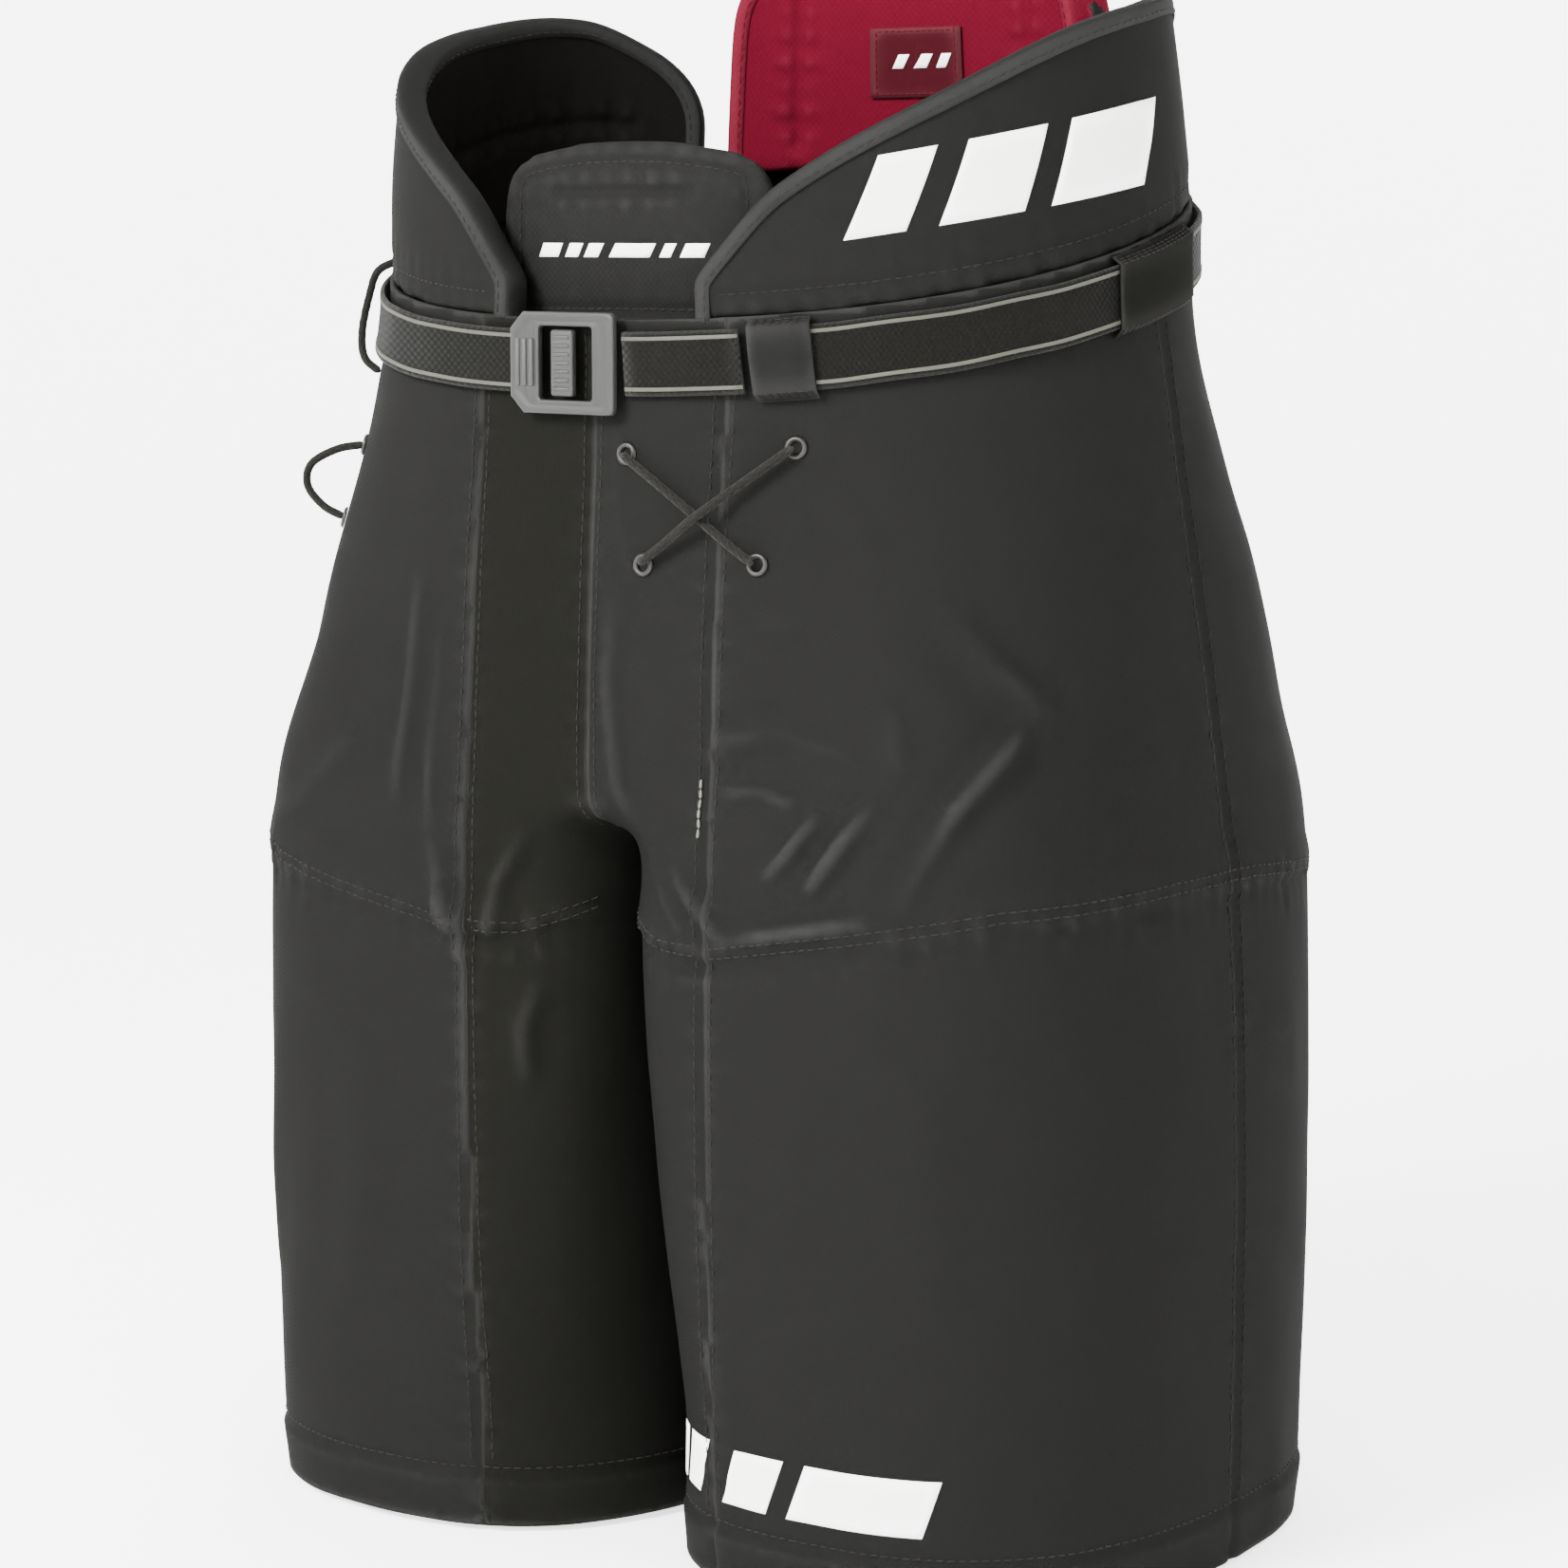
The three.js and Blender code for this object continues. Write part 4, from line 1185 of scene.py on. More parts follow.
def rim_frames(pairs, depth):
    """Middle point, outward normal and away direction at each place of a rim."""
    middle = [moved_out(hip_point, a, z, depth) for a, z in pairs]
    normals = [(moved_out(hip_point, a, z, depth + 0.001) - m).normalized()
               for (a, z), m in zip(pairs, middle)]
    frames = []
    for i, (m, n) in enumerate(zip(middle, normals)):
        tangent = (middle[min(i + 1, len(middle) - 1)] - middle[max(i - 1, 0)]).normalized()
        frames.append((m, n, n.cross(tangent).normalized()))
    return frames


def swept(name, frames, section):
    """A closed section, given in (normal, away), moved along the frames."""
    points = [m + n * a + w * b for m, n, w in frames for a, b in section]
    piece = new_mesh(name, points, ring_faces(len(frames), len(section)))
    facing_out(piece)
    return piece


def tape_section(half):
    """A tape folded over a rim of that half thickness."""
    outer, inner = [(half, -TAPE_DEEP)], [(half - TAPE_THICK, -TAPE_DEEP)]
    for t in np.linspace(90, -90, 9):
        a, b = math.sin(math.radians(t)), math.cos(math.radians(t))
        outer.append((half * a, 0.0022 * b - 0.002))
        inner.append(((half - TAPE_THICK) * a, (0.0022 - TAPE_THICK) * b - 0.002))
    outer.append((-half, -TAPE_DEEP))
    inner.append((-half + TAPE_THICK, -TAPE_DEEP))
    return outer + inner[::-1]


def binding(name, pairs, depth, half, away):
    frames = [(m, n, w * away) for m, n, w in rim_frames(pairs, depth)]
    tape = swept(name, frames, tape_section(half))
    rows = [[(m + n * (s * (half + 0.0001)) - w * 0.0055, n * s) for m, n, w in frames] for s in (1, -1)]
    return tape, stitched(f"{name}_stitches", rows, 0.0032, 0.0016, 0.00032)


def sewn_on(piece):
    """Bakes the piece's transform into its points."""
    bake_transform(piece)


# %% Kidney flaps
WING_OUT, WING_IN = -0.0012, -0.0118
flap_trees = {}
for side, word in ((1, "left"), (-1, "right")):
    ends = (WING_SPAN[0], WING_SPAN[1]) if side > 0 else (-WING_SPAN[1], -WING_SPAN[0])
    pad = cushion(f"wing_cushion_{word}", *ends, flap_low, wing_top, WING_OUT, WING_IN, 60, 12)
    middle_depth = (WING_OUT + WING_IN) / 2
    pairs = rim_path(*ends, flap_low, wing_top)
    rim = [m for m, _, _ in rim_frames(pairs, middle_depth)]
    hinge = [moved_out(hip_point, a, flap_low(a), middle_depth) for a in np.linspace(*ends, 40)]
    puffed(pad, rim + hinge[::-1] if side > 0 else rim + hinge[::-1], 4.0, 0.005)
    inner_line = [moved_out(hip_point, a, flap_low(a) + 0.45 * (wing_top(a) - flap_low(a)), -0.012)
                  for a in np.linspace(ends[0] + 14, ends[1] - 14, 30)]
    grooved(pad, [inner_line], 0.0020, 0.0030, side=-1)
    outer_line = [moved_out(hip_point, a, flap_low(a) + 0.010, 0.0)
                  for a in np.linspace(ends[0] + 4, ends[1] - 4, 40)]
    grooved(pad, [outer_line], 0.0010, 0.0022, side=1)
    cover, lining = cover_and_lining(pad, f"wing_{word}", middle_depth)
    tape, tape_stitches = binding(f"wing_binding_{word}", pairs, middle_depth,
                                  (WING_OUT - WING_IN) / 2 + 0.0009, 1)
    dress(cover, "nylon")
    dress(lining, "dark_lining")
    dress(tape, "nylon")
    dress(tape_stitches, "thread")
    flap_trees[word] = tree_of(cover)
    found = [on_cloth(flap_trees[word], p, outward_at(np.array([p]))[0], 0.0002) for p in outer_line]
    rows = [[(point, normal) for point, normal in found if point]]
    seam_rows = stitched(f"wing_stitches_{word}", rows)
    dress(seam_rows, "thread")
    for piece in (cover, lining, tape, tape_stitches, seam_rows):
        sewn_on(piece)
    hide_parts(f"wing_cover_{word}", f"wing_foam_{word}")
    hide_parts(f"wing_lining_{word}")
print("kidney flaps made")

# %% Spine guard with the red lining
SPINE_OUT, SPINE_IN = -0.0010, -0.0200
SPINE_ENDS = (180 - SPINE_HALF, 180 + SPINE_HALF)
pad = cushion("spine_cushion", *SPINE_ENDS, flap_low, spine_top, SPINE_OUT, SPINE_IN, 40, 16)
spine_middle = (SPINE_OUT + SPINE_IN) / 2
pairs = rim_path(*SPINE_ENDS, flap_low, spine_top)
rim = [m for m, _, _ in rim_frames(pairs, spine_middle)]
hinge = [moved_out(hip_point, a, flap_low(a), spine_middle) for a in np.linspace(*SPINE_ENDS, 30)]
puffed(pad, rim + hinge[::-1], 4.0, 0.005)
channels = []
for angle in (160, 200):
    channels.append([moved_out(hip_point, angle, z, SPINE_IN) for z in np.linspace(0.575, 0.640, 12)])
grooved(pad, channels, 0.0026, 0.0034, side=-1)
grooved(pad, [[moved_out(hip_point, a, z, 0) for z in np.linspace(0.585, 0.645, 12)] for a in (167, 193)],
        0.0014, 0.0026, side=1)
cover, lining = cover_and_lining(pad, "spine", spine_middle)
tape, tape_stitches = binding("spine_binding", pairs, spine_middle, (SPINE_OUT - SPINE_IN) / 2 + 0.0009, 1)
dress(cover, "nylon")
dress(lining, "red_lining")
dress(tape, "red_lining")
dress(tape_stitches, "red_thread")
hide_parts("spine_cover", "spine_foam")
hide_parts("back_lining")
lining_tree = tree_of(lining)
for piece in (cover, lining, tape, tape_stitches):
    sewn_on(piece)
print("spine guard made")

# %% Transfers and labels that follow a surface


def patches(name, tree, cells, thickness, columns=14, rows=6):
    """Thin printed or sewn shapes. Each cell gives, for u and v from 0 to 1, a place and a way out."""
    points, faces = [], []
    for cell in cells:
        found = {}
        for j in range(rows + 1):
            for i in range(columns + 1):
                place, outward = cell(i / columns, j / rows)
                point, normal = on_cloth(tree, place, outward, thickness)
                if point is not None:
                    found[i, j] = len(points)
                    points.append(point)
        for j in range(rows):
            for i in range(columns):
                corners = [(i, j), (i + 1, j), (i + 1, j + 1), (i, j + 1)]
                if all(c in found for c in corners):
                    faces.append(tuple(found[c] for c in corners))
    piece = new_mesh(name, points, faces)
    thick = piece.modifiers.new("thick", "SOLIDIFY")
    thick.thickness, thick.offset = thickness * 0.9, -1
    apply_all(piece)
    return piece


def hip_cell(first, last, low, high, slant, depth=0.0, facing_way=1):
    """A slanted bar on the hips, between two angles and two heights."""
    def cell(u, v):
        angle = first + (last - first) * u + slant * v
        base, tip = low(angle), high(angle)
        place = moved_out(hip_point, angle, base + (tip - base) * v, depth)
        outward = outward_at(np.array([place]))[0] * facing_way
        return place, outward
    return cell


# %% Woven label on the lining
label_low, label_high = 0.594, 0.624
label = patches("woven_label", lining_tree, [
    hip_cell(173, 187, lambda a: label_low, lambda a: label_high, 0, SPINE_IN, -1)], 0.0008, 10, 10)
dress(label, "label")
label_tree = tree_of(label)
dashes = [hip_cell(a, a + 1.6, lambda _: 0.6065, lambda _: 0.6125, -1.0, SPINE_IN, -1)
          for a in (175.5, 178.6, 181.7)]
label_marks = patches("label_marks", label_tree, dashes, 0.0003, 4, 3)
dress(label_marks, "white_print")
edge = [(174, 0.5955), (186, 0.5955), (186, 0.6225), (174, 0.6225), (174, 0.5955)]
edge_line = []
for (a0, z0), (a1, z1) in zip(edge[:-1], edge[1:]):
    for t in np.linspace(0, 1, 14)[:-1]:
        place = moved_out(hip_point, a0 + (a1 - a0) * t, z0 + (z1 - z0) * t, SPINE_IN)
        point, normal = on_cloth(label_tree, place, -outward_at(np.array([place]))[0], 0.0002)
        if point is not None:
            edge_line.append((point, normal))
label_stitches = stitched("label_stitches", [edge_line], 0.0022, 0.0010, 0.00028)
dress(label_stitches, "red_thread")
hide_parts("lining_label")
for piece in (label, label_marks, label_stitches):
    sewn_on(piece)

# %% Tongue
TONGUE_OUT, TONGUE_IN = -0.0192, -0.0276
pad = cushion("tongue_pad", -TONGUE_HALF, TONGUE_HALF, lambda a: TONGUE_LOW, tongue_top, TONGUE_OUT,
              TONGUE_IN, 40, 26)
tongue_middle = (TONGUE_OUT + TONGUE_IN) / 2
ends = (-TONGUE_HALF, TONGUE_HALF)
low_edge = [moved_out(hip_point, a, TONGUE_LOW, tongue_middle) for a in np.linspace(*ends, 20)]
rim = [m for m, _, _ in rim_frames(rim_path(*ends, lambda a: TONGUE_LOW, tongue_top, 60), tongue_middle)]
puffed(pad, rim + low_edge[::-1], 4.0, 0.004)
border = rim_frames(rim_path(-TONGUE_HALF + 4, TONGUE_HALF - 4, lambda a: TONGUE_LOW,
                             lambda a: tongue_top(a) - 0.0085, 60), TONGUE_OUT)
short_line = [moved_out(hip_point, a, 0.5515, TONGUE_OUT) for a in np.linspace(-10, 9, 20)]
low_line = [moved_out(hip_point, a, 0.505, TONGUE_OUT) for a in np.linspace(-19, 19, 24)]
grooved(pad, [[m for m, _, _ in border], low_line], 0.0012, 0.0022, side=1)
grooved(pad, [short_line], 0.0026, 0.0020, side=1)
dress(pad, "grey_mesh")
tongue_tree = tree_of(pad)
lines = []
for line in ([m for m, _, _ in border], low_line):
    lines.append([pair for pair in (on_cloth(tongue_tree, p, outward_at(np.array([p]))[0], 0.0002)
                                    for p in line) if pair[0]])
tongue_stitches = stitched("tongue_stitches", lines)
dress(tongue_stitches, "thread")
marks = []
for start, wide in ((-13.5, 3.6), (-8.6, 2.2), (-5.4, 2.2), (-1.6, 5.2), (5.0, 1.6), (8.0, 3.6)):
    marks.append(hip_cell(start, start + wide, lambda _: 0.5255, lambda _: 0.5310, 0.9, TONGUE_OUT))
tongue_print = patches("tongue_print", tongue_tree, marks, 0.0003, 5, 3)
dress(tongue_print, "white_print")
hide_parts("tongue_cover", "tongue_foam")
for piece in (pad, tongue_stitches, tongue_print):
    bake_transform(piece)
print("tongue made")

# %% White bars on the left flap and the left hem
bars = []
for first, last in ((34, 43), (48, 62), (67, 88)):
    bars.append(hip_cell(first, last, lambda a: 0.532 + 0.00040 * (a - 34),
                         lambda a: 0.562 + 0.00044 * (a - 34), 5.0))
wing_print = patches("wing_print", flap_trees["left"], bars, 0.0003)
dress(wing_print, "white_print")
sewn_on(wing_print)


def leg_cell(first, last, low, high, slant):
    """A slanted bar on the front of the left leg; first and last are along x."""
    def cell(u, v):
        x = first + (last - first) * u + slant * v
        return Vector((x, -0.138, low + (high - low) * v)), Vector(((x - LEG_CENTRE) * 2.2, -0.30, 0))
    return cell


PRINT_LOW, PRINT_HIGH, PRINT_SLANT = 0.0355, 0.0585, 0.009
outer_print_cells = [leg_cell(first, last, PRINT_LOW, PRINT_HIGH, PRINT_SLANT)
                     for first, last in ((0.066, 0.090), (0.100, 0.160))]
inner_print_cells = [leg_cell(first, last, PRINT_LOW, PRINT_HIGH, PRINT_SLANT)
                     for first, last in ((0.008, 0.020), (0.027, 0.047))]
outer_print = patches("hem_print_outer", shell_trees[1], outer_print_cells, 0.0003)
inner_print = patches("hem_print_inner", shell_trees[1], inner_print_cells, 0.0003)
tab_line = cloth_line(between([(0.0565, -0.14, 0.322), (0.0565, -0.14, 0.300)], 0.001),
                      lambda p: Vector((0, -1, 0)), 0.0004)
pocket_tab = stitched("pocket_tack", [tab_line], 0.0036, 0.0003, 0.0006)
for piece, slot in ((outer_print, "nylon"), (inner_print, "nylon")):
    dress(piece, "white_print")
    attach(piece, "leg_left")
dress(pocket_tab, "pale_thread")
print("prints made")

# %% [markdown]
# ## Belt
# The belt is 25 mm webbing with a pale line woven near each edge. It runs through a tunnel at
# the front left and three loops, and all of it follows one sloping line round the hips.

# %% Straps
BELT_IN, WEBBING, BELT_HALF = 0.0012, 0.0018, 0.0125
LOOP_IN, LOOP_THICK, LOOP_HALF = 0.0042, 0.0014, 0.016
CATCH_ANGLE, FRAME_SIDE, TUNNEL_ANGLE, BUCKLE_ANGLE = -6.5, 4.0, 19.5, -2.4


def belt_point(angle, v, depth):
    return moved_out(hip_point, angle, hip_belt_z(angle) + v, depth)


def strap(name, first, last, inside, thick, half, step=1.5, bulge=0.0, sewn=0.0):
    """A flat strap along the belt line with beaded edges and a slight waviness. A sewn strap
    comes down to the shell along its upper and lower edges."""
    across_steps = [
        (-1, 0.35), (-0.985, 0.85), (-0.94, 1.1), (-0.87, 1.0), (-0.79, 1.0), (-0.4, 0.96), (0, 0.94),
        (0.4, 0.96), (0.79, 1.0), (0.87, 1.0), (0.94, 1.1), (0.985, 0.85), (1, 0.35), (0.96, 0.0),
        (0.88, 0.0), (0.79, 0.03), (0, 0.05), (-0.79, 0.03), (-0.88, 0.0), (-0.96, 0.0),
    ]
    count = max(int(abs(last - first) / step), 4)
    rings = []
    for i in range(count + 1):
        angle = first + (last - first) * i / count
        wave = 0.0004 * noise.noise(Vector((angle * 0.11, half * 90, 2.0)))
        lift = bulge * math.sin(math.pi * i / count)
        ring = []
        for v, t in across_steps:
            down = 1 - sewn * min(max((abs(v) - 0.80) / 0.16, 0), 1)
            ring.append(belt_point(angle, v * half + wave,
                                   (inside + wave + lift) * down + t * thick + 0.0003))
        rings.append(ring)
    piece = lofted(name, rings)
    facing_out(piece)
    return piece


def pale_lines(name, first, last, half, inside, thick):
    """The two pale yarn lines woven into a strap."""
    points, faces = [], []
    count = max(int(abs(last - first) / 1.5), 3)
    for sign in (1, -1):
        start = len(points)
        for i in range(count + 1):
            angle = first + (last - first) * i / count
            wave = 0.0004 * noise.noise(Vector((angle * 0.11, BELT_HALF * 90, 2.0)))
            for v, t in ((-0.0009, 0.7), (-0.0007, 1.16), (0.0007, 1.16), (0.0009, 0.7)):
                points.append(belt_point(angle, sign * half + v + wave, inside + t * thick + wave + 0.0003))
        faces.extend(ring_faces(count + 1, 4, start))
    piece = new_mesh(name, points, faces)
    facing_out(piece)
    return piece


for name, first, last, body in (("belt_right", -88, CATCH_ANGLE, "pelvis"), ("belt_back", 89, 271, "pelvis"),
                                ("belt_left", TUNNEL_ANGLE + 1.5, 88, "pelvis"),
                                ("belt_end", FRAME_SIDE, TUNNEL_ANGLE, "belt_end")):
    band = strap(f"{name}_strap", first, last, BELT_IN, WEBBING, BELT_HALF)
    dress(band, "webbing")
    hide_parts(name)
    pale = pale_lines(f"{name}_lines", first, last, 0.0098, BELT_IN, WEBBING)
    dress(pale, "grey_thread")
    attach(band, body)
    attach(pale, body)

# %% Tunnel and loops
for name, first, last, finish_name in (("belt_tunnel", TUNNEL_ANGLE + 1.5, TUNNEL_ANGLE + 10, "nylon"),
                                       ("belt_loop_left", 79, 99, "dark_nylon"),
                                       ("belt_loop_right", -99, -79, "dark_nylon"),
                                       ("belt_loop_back", 174, 186, "dark_nylon")):
    keeper = strap(f"{name}_cloth", first, last, LOOP_IN, LOOP_THICK, LOOP_HALF, 0.7, 0.0006, 0.95)
    dress(keeper, finish_name)
    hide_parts(name)
    tacks = []
    for v in (LOOP_HALF - 0.0022, -LOOP_HALF + 0.0022):
        for shift in (-0.0008, 0, 0.0008):
            places = [belt_point(a, v + shift, LOOP_IN + LOOP_THICK + 0.0012)
                      for a in np.linspace(first + 0.8, last - 0.8, 14)]
            tacks.append([(p, Vector(outward_at(np.array([p]))[0])) for p in places])
    keeper_tree = tree_of(keeper)
    tacks = [[pair for pair in (on_cloth(keeper_tree, p, n, 0.0002) for p, n in row) if pair[0]]
             for row in tacks]
    tack = stitched(f"{name}_tacks", tacks, 0.0026, 0.0008, 0.00030)
    dress(tack, "thread")
    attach(keeper, "pelvis")
    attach(tack, "pelvis")
print("belt made")

# %% [markdown]
# ## Buckle
# A moulded frame with two cut corners hooks over a ribbed catch. Both are lofted from outlines
# with the same number of points, so that every edge can be rounded evenly.

# %% Outlines and frame


def belt_frame(angle, distance):
    """Origin, across, up and out of a flat piece that lies against the belt."""
    origin = belt_point(angle, 0, distance)
    out = (belt_point(angle, 0, distance + 0.001) - origin).normalized()
    across_way = belt_point(angle + 1, 0, distance) - belt_point(angle - 1, 0, distance)
    across_way = (across_way - out * across_way.dot(out)).normalized()
    return origin, across_way, out.cross(across_way), out


def box_outline(x, wide, tall, corners, steps=6):
    """Points round a box. Each corner is (size, True) for a cut or (size, False) for a round."""
    points = []
    centres = ((1, -1), (1, 1), (-1, 1), (-1, -1))
    for k, ((sx, sy), (size, straight)) in enumerate(zip(centres, corners)):
        cx, cy = x + sx * (wide / 2 - size), sy * (tall / 2 - size)
        for i in range(steps + 1):
            t = i / steps
            if straight:
                begin = math.radians(-90 + 90 * k)
                a, b = (math.cos(begin), math.sin(begin)), (math.cos(begin + math.pi / 2),
                                                            math.sin(begin + math.pi / 2))
                px, py = a[0] + (b[0] - a[0]) * t, a[1] + (b[1] - a[1]) * t
            else:
                turn = math.radians(-90 + 90 * k + 90 * t)
                px, py = math.cos(turn), math.sin(turn)
            points.append((cx + px * size, cy + py * size))
    return points


def layered(name, loops, place, close_top=False):
    """Skins a stack of loops, each (outline, height), placed in a frame."""
    origin, ax, ay, az = place
    count = len(loops[0][0])
    points = [origin + ax * x + ay * y + az * h for outline, h in loops for x, y in outline]
    piece = new_mesh(name, points, ring_faces(len(loops), count, closed=not close_top))
    facing_out(piece)
    return piece


def joined(pieces, name):
    for o in list(bpy.context.selected_objects):
        o.select_set(False)
    for piece in pieces:
        piece.select_set(True)
    bpy.context.view_layer.objects.active = pieces[0]
    bpy.ops.object.join()
    pieces[0].name = name
    return pieces[0]


FRAME_WIDE, FRAME_TALL, FRAME_THICK = 0.052, 0.040, 0.0032
WINDOW_X, WINDOW_WIDE, WINDOW_TALL = 0.0020, 0.027, 0.029
frame_place = belt_frame(BUCKLE_ANGLE, BELT_IN + WEBBING + 0.0008)
cut_corners = ((0.0028, False), (0.0028, False), (0.0065, True), (0.0065, True))
small_corners = ((0.0016, False),) * 4


def frame_loop(inset):
    return box_outline(0, FRAME_WIDE - 2 * inset, FRAME_TALL - 2 * inset, cut_corners)


def window_loop(grow):
    return box_outline(WINDOW_X, WINDOW_WIDE + 2 * grow, WINDOW_TALL + 2 * grow, small_corners)


t = FRAME_THICK
round_edge = 0.0009
loops = [(frame_loop(0.0004), 0.0), (frame_loop(0), 0.0004)]
for turn in np.linspace(0, 90, 5):
    c, s = math.cos(math.radians(turn)), math.sin(math.radians(turn))
    loops.append((frame_loop(round_edge * (1 - c)), t - round_edge * (1 - s)))
loops.append((frame_loop(0.0024), t))
loops.append((frame_loop(0.0030), t - 0.0004))
loops.append((window_loop(0.0016), t - 0.0004))
loops.append((window_loop(0.0011), t))
for turn in np.linspace(90, 0, 4):
    c, s = math.cos(math.radians(turn)), math.sin(math.radians(turn))
    loops.append((window_loop(0.0007 * (1 - c)), t - 0.0007 * (1 - s)))
loops.append((window_loop(0), 0.0003))
buckle = [layered("buckle_ring", loops, frame_place)]
for i in (-1, 0, 1):
    rib = []
    for inset, h in ((0, t - 0.0006), (0.0001, t - 0.0001), (0.0005, t + 0.0003)):
        outline = box_outline(0, 0.0022 - 2 * inset, 0.019 - 2 * inset, ((0.0005, False),) * 4, 3)
        rib.append(([(x - 0.0188 + i * 0.0034, y) for x, y in outline], h))
    buckle.append(layered("grip_rib", rib, frame_place, True))
buckle = joined(buckle, "buckle_frame_moulding")
dress(buckle, "buckle_plastic")
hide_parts("buckle_frame")
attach(buckle, "belt_end")

# %% Ribbed catch
CATCH_X, CATCH_WIDE, CATCH_TALL, CATCH_THICK = -0.0002, 0.011, 0.0262, 0.0036
catch_place = belt_frame(BUCKLE_ANGLE, BELT_IN + WEBBING + 0.0005)
loops = []
for inset, h in ((0.0003, 0.0), (0, 0.0004), (0, CATCH_THICK - 0.0014), (0.0002, CATCH_THICK - 0.0008),
                 (0.0008, CATCH_THICK - 0.0005)):
    loops.append((box_outline(CATCH_X, CATCH_WIDE - 2 * inset, CATCH_TALL - 2 * inset,
                              ((0.0012, False),) * 4, 4), h))
catch = [layered("catch_slab", loops, catch_place, True)]
for i in range(-3, 4):
    rib = []
    for inset, h in ((0, CATCH_THICK - 0.0009), (0.0001, CATCH_THICK - 0.0004),
                     (0.0005, CATCH_THICK + 0.0001)):
        outline = box_outline(CATCH_X, 0.0086 - 2 * inset, 0.0019 - 2 * inset, ((0.0005, False),) * 4, 3)
        rib.append(([(x, y + i * 0.0034) for x, y in outline], h))
    catch.append(layered("catch_rib", rib, catch_place, True))
catch = joined(catch, "buckle_catch_moulding")
dress(catch, "dull_buckle")
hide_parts("buckle_catch")
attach(catch, "pelvis")
print("buckle made")

# %% [markdown]
# ## Laces and eyelets
# Round braided laces cross over the fly and hang in two short loops at the wearer's right. The
# braid is real: two sets of strands wind round the core in opposite ways.

# %% Braided tube


NEAR_CLOTH, FLAP_FOOT = 0.0085, 0.515


def hip_spot(x, z, lift):
    """A place on the hip shell given by its x and height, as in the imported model. Near places
    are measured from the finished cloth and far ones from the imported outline."""
    near, far = 0.0, 90.0
    for _ in range(24):
        middle = (near + far) / 2
        if hip_point(middle, z).x < abs(x):
            near = middle
        else:
            far = middle
    angle = math.copysign(near, x)
    if lift > NEAR_CLOTH:
        return moved_out(hip_point, angle, z, lift)
    base = moved_out(hip_point, angle, z, 0)
    out = (moved_out(hip_point, angle, z, 0.01) - base).normalized()
    tree = flap_trees["right"] if z > FLAP_FOOT else shell_trees[1 if x > 0 else -1]
    return on_cloth(tree, base, out, 0)[0] + out * lift


def curve_through(places, spacing=0.0009):
    """A smooth curve through places, as evenly spaced points."""
    p = [places[0] * 2 - places[1], *places, places[-1] * 2 - places[-2]]
    dense = []
    for i in range(1, len(p) - 2):
        for k in range(24):
            s = k / 24
            a, b, c, d = p[i - 1], p[i], p[i + 1], p[i + 2]
            dense.append(0.5 * ((2 * b) + (c - a) * s + (2 * a - 5 * b + 4 * c - d) * s * s
                                + (3 * b - a - 3 * c + d) * s**3))
    dense.append(p[-2])
    out, left = [dense[0]], spacing
    for a, b in zip(dense[:-1], dense[1:]):
        length = (b - a).length
        while length >= left and length > 0:
            a = a + (b - a) * (left / length)
            length -= left
            left = spacing
            out.append(a)
        left -= length
    return out


def braided(name, path, radius):
    count = 20
    rings = []
    side_way = None
    for i, p in enumerate(path):
        tangent = (path[min(i + 1, len(path) - 1)] - path[max(i - 1, 0)]).normalized()
        if side_way is None:
            side_way = tangent.orthogonal().normalized()
        side_way = (side_way - tangent * side_way.dot(tangent)).normalized()
        other = tangent.cross(side_way)
        ends = min(i, len(path) - 1 - i)
        size = radius * (0.35, 0.8, 1.0)[min(ends, 2)]
        ring = []
        for k in range(count):
            turn = math.tau * k / count
            strands = max(abs(math.cos(2.5 * turn + i * 0.62)), abs(math.cos(2.5 * turn - i * 0.62)))
            r = size * (0.86 + 0.16 * strands)
            ring.append(p + (side_way * math.cos(turn) + other * math.sin(turn)) * r)
        rings.append(ring)
    piece = lofted(name, rings)
    facing_out(piece)
    return piece


# %% Where laces and eyelets are attached
BEND_TOP, BEND_LOW, CROTCH_Z = 0.46, 0.33, 0.27


def with_shell(piece, name):
    """Laces and eyelets at the waist are attached to the pelvis; the others have their transforms baked in.
    """
    if name.startswith("waist"):
        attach(piece, "pelvis")
    elif name.startswith("hip"):
        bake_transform(piece)
    else:
        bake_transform(piece)


# %% Crossed laces and the two free loops
LACE_RADIUS = 0.0017
LACE_REST = LACE_RADIUS + 0.0026
LACE_OVER = LACE_REST + 2 * LACE_RADIUS + 0.0005
LACES = {
    "lace_cross_low": [(0.017, 0.449, LACE_REST), (0.034, 0.438, LACE_REST), (0.053, 0.425, LACE_REST),
                       (0.066, 0.416, LACE_REST), (0.078, 0.408, LACE_REST)],
    "lace_cross_high": [(0.090, 0.453, LACE_REST), (0.072, 0.439, LACE_REST + 0.001),
                        (0.054, 0.425, LACE_OVER),
                        (0.040, 0.415, LACE_REST + 0.001), (0.027, 0.406, LACE_REST)],
    "hip_lace_loop": [(-0.166, 0.445, 0.0008), (-0.168, 0.440, 0.011), (-0.171, 0.431, 0.020),
                      (-0.173, 0.422, 0.019),
                      (-0.173, 0.416, 0.010), (-0.172, 0.414, 0.0008)],
    "waist_lace_loop": [(-0.168, 0.523, 0.0020), (-0.168, 0.518, 0.009), (-0.169, 0.507, 0.013),
                        (-0.168, 0.491, 0.013),
                        (-0.167, 0.480, 0.009), (-0.167, 0.475, 0.0014)],
}
for name, places in LACES.items():
    path = curve_through([hip_spot(x, z, lift) for x, z, lift in places])
    lace = braided(f"{name}_braid", path, LACE_RADIUS)
    dress(lace, "cord")
    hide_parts(name)
    with_shell(lace, name)

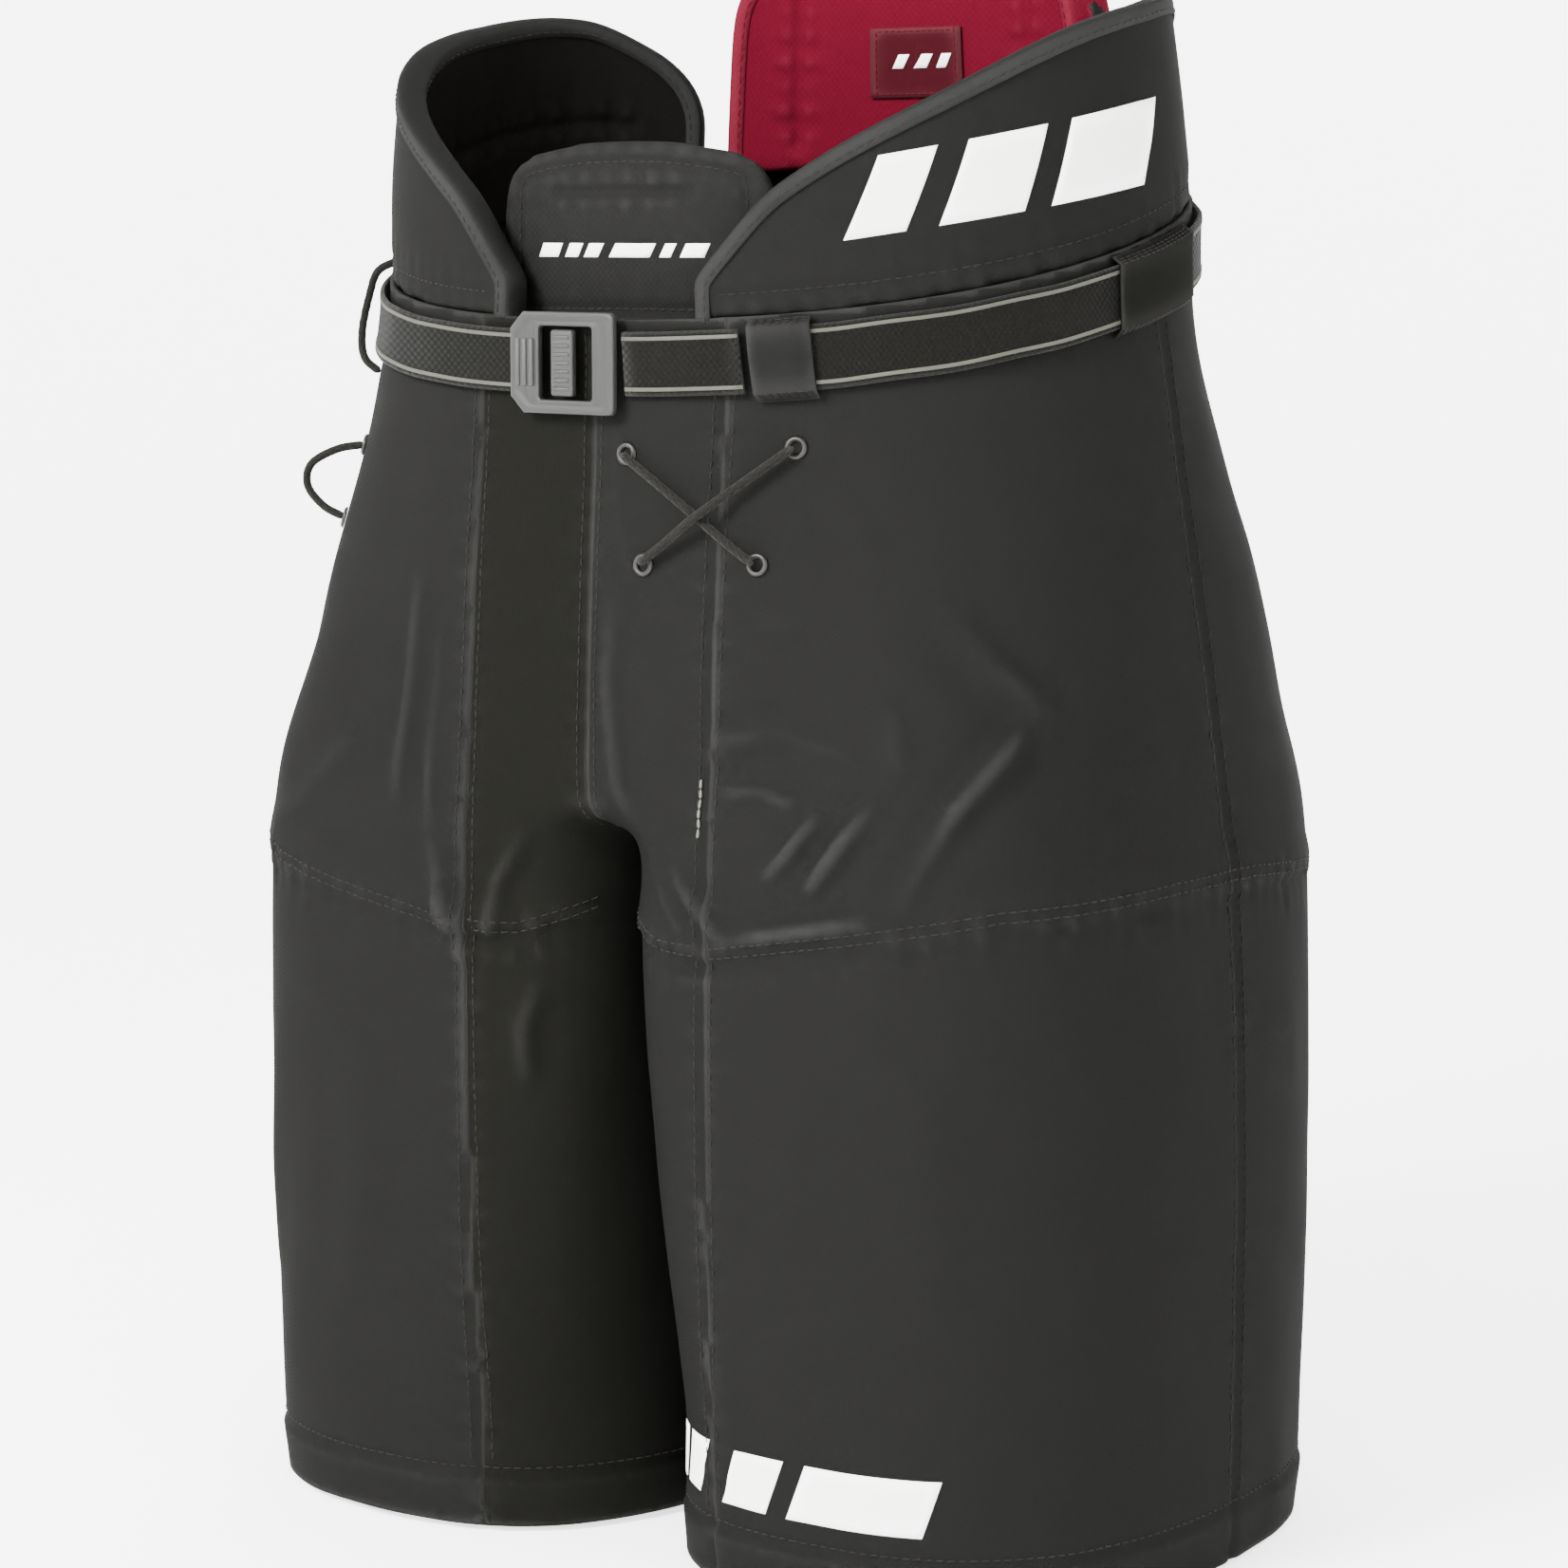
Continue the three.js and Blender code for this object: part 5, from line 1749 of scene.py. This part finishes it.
# %% Eyelets
EYELET_PROFILE = [(0.0024, 0.0001), (0.0046, 0.0), (0.0047, 0.0004), (0.0044, 0.0010), (0.0037, 0.00145),
                  (0.0030, 0.0013), (0.0025, 0.0008)]

EYELET_LIFT = 0.0002


def eyelet(name, x, z):
    origin = hip_spot(x, z, EYELET_LIFT)
    out = (hip_spot(x, z, EYELET_LIFT + 0.001) - origin).normalized()
    side_way = out.orthogonal().normalized()
    other = out.cross(side_way)
    rings = []
    for r, h in EYELET_PROFILE:
        rings.append([origin + out * h + (side_way * math.cos(a) + other * math.sin(a)) * r
                      for a in np.linspace(0, math.tau, 33)[:-1]])
    points = [p for ring in rings for p in ring]
    piece = new_mesh(name, points, ring_faces(len(rings), len(rings[0]), closed=True))
    facing_out(piece)
    return piece


EYELETS = {"fly_eyelet_1": (0.017, 0.449), "fly_eyelet_2": (0.090, 0.453), "fly_eyelet_3": (0.027, 0.406),
           "fly_eyelet_4": (0.078, 0.408), "hip_eyelet_1": (-0.166, 0.445), "hip_eyelet_2": (-0.172, 0.414)}
for name, (x, z) in EYELETS.items():
    ring = eyelet(f"{name}_ring", x, z)
    dress(ring, "eyelet_metal")
    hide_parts(name)
    with_shell(ring, name)
print("laces and eyelets made")

# %% [markdown]
# ## Hems
# Each leg ends in a hem folded to the inside.

# %% Folded hems
HEM_STEPS = 120
for side, word in ((1, "left"), (-1, "right")):
    section = [(-0.0030, 0.0010), (-0.0034, 0.0003), (-0.0042, 0.0001), (-0.0049, 0.0005),
               (-0.0051, 0.0014), (-0.0050, 0.0120),
               (-0.0051, 0.0250), (-0.0046, 0.0262), (-0.0036, 0.0262), (-0.0030, 0.0250)]
    loops = []
    for depth, z in section:
        ring = []
        for i in range(HEM_STEPS):
            p = moved_out(lambda a, h: leg_point(1, a, h), 360 * i / HEM_STEPS, max(z, 0.003), depth)
            wave = 0.0004 * noise.noise(Vector((p.x * 30, p.y * 30, 1.0)))
            ring.append(Vector((side * max(p.x + wave, WALL - depth), p.y + wave, z)))
        loops.append(ring)
    points = [p for ring in loops for p in ring]
    hem = new_mesh(f"hem_fold_{word}", points, ring_faces(len(loops), HEM_STEPS, closed=True))
    facing_out(hem)
    dress(hem, "nylon")
    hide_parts(f"hem_band_{word}")
    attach(hem, f"leg_{word}")
print("hems made")

# %% Bake the transforms of the panels and their layers
for side, word in ((1, "left"), (-1, "right")):
    start = Vector((0, 0, CROTCH_Z))
    for piece in (panels[f"outer_{word}"], panels[f"outer_lining_{word}"], stitches[f"outer_{word}"],
                  *outer_extras[word]):
        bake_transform(piece)
    for piece in (panels[f"inner_{word}"], panels[f"inner_lining_{word}"], stitches[f"inner_{word}"]):
        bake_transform(piece)

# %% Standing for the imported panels
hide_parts("hip_shell_left_front", "hip_shell_left_back", "leg_front_left",
            "leg_back_left")
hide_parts("hip_shell_right_front", "hip_shell_right_back", "leg_front_right",
            "leg_back_right")
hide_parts("seat_panel", "leg_inner_left", "crotch_gusset")
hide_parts("fly_panel", "leg_inner_right")
for name, slot in (("outer_left", "nylon"), ("outer_right", "nylon"), ("inner_left", "nylon"),
                   ("inner_right", "dark_nylon")):
    dress(panels[name], slot)
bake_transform(pocket_tab)

# %% Measure and finish
low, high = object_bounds()
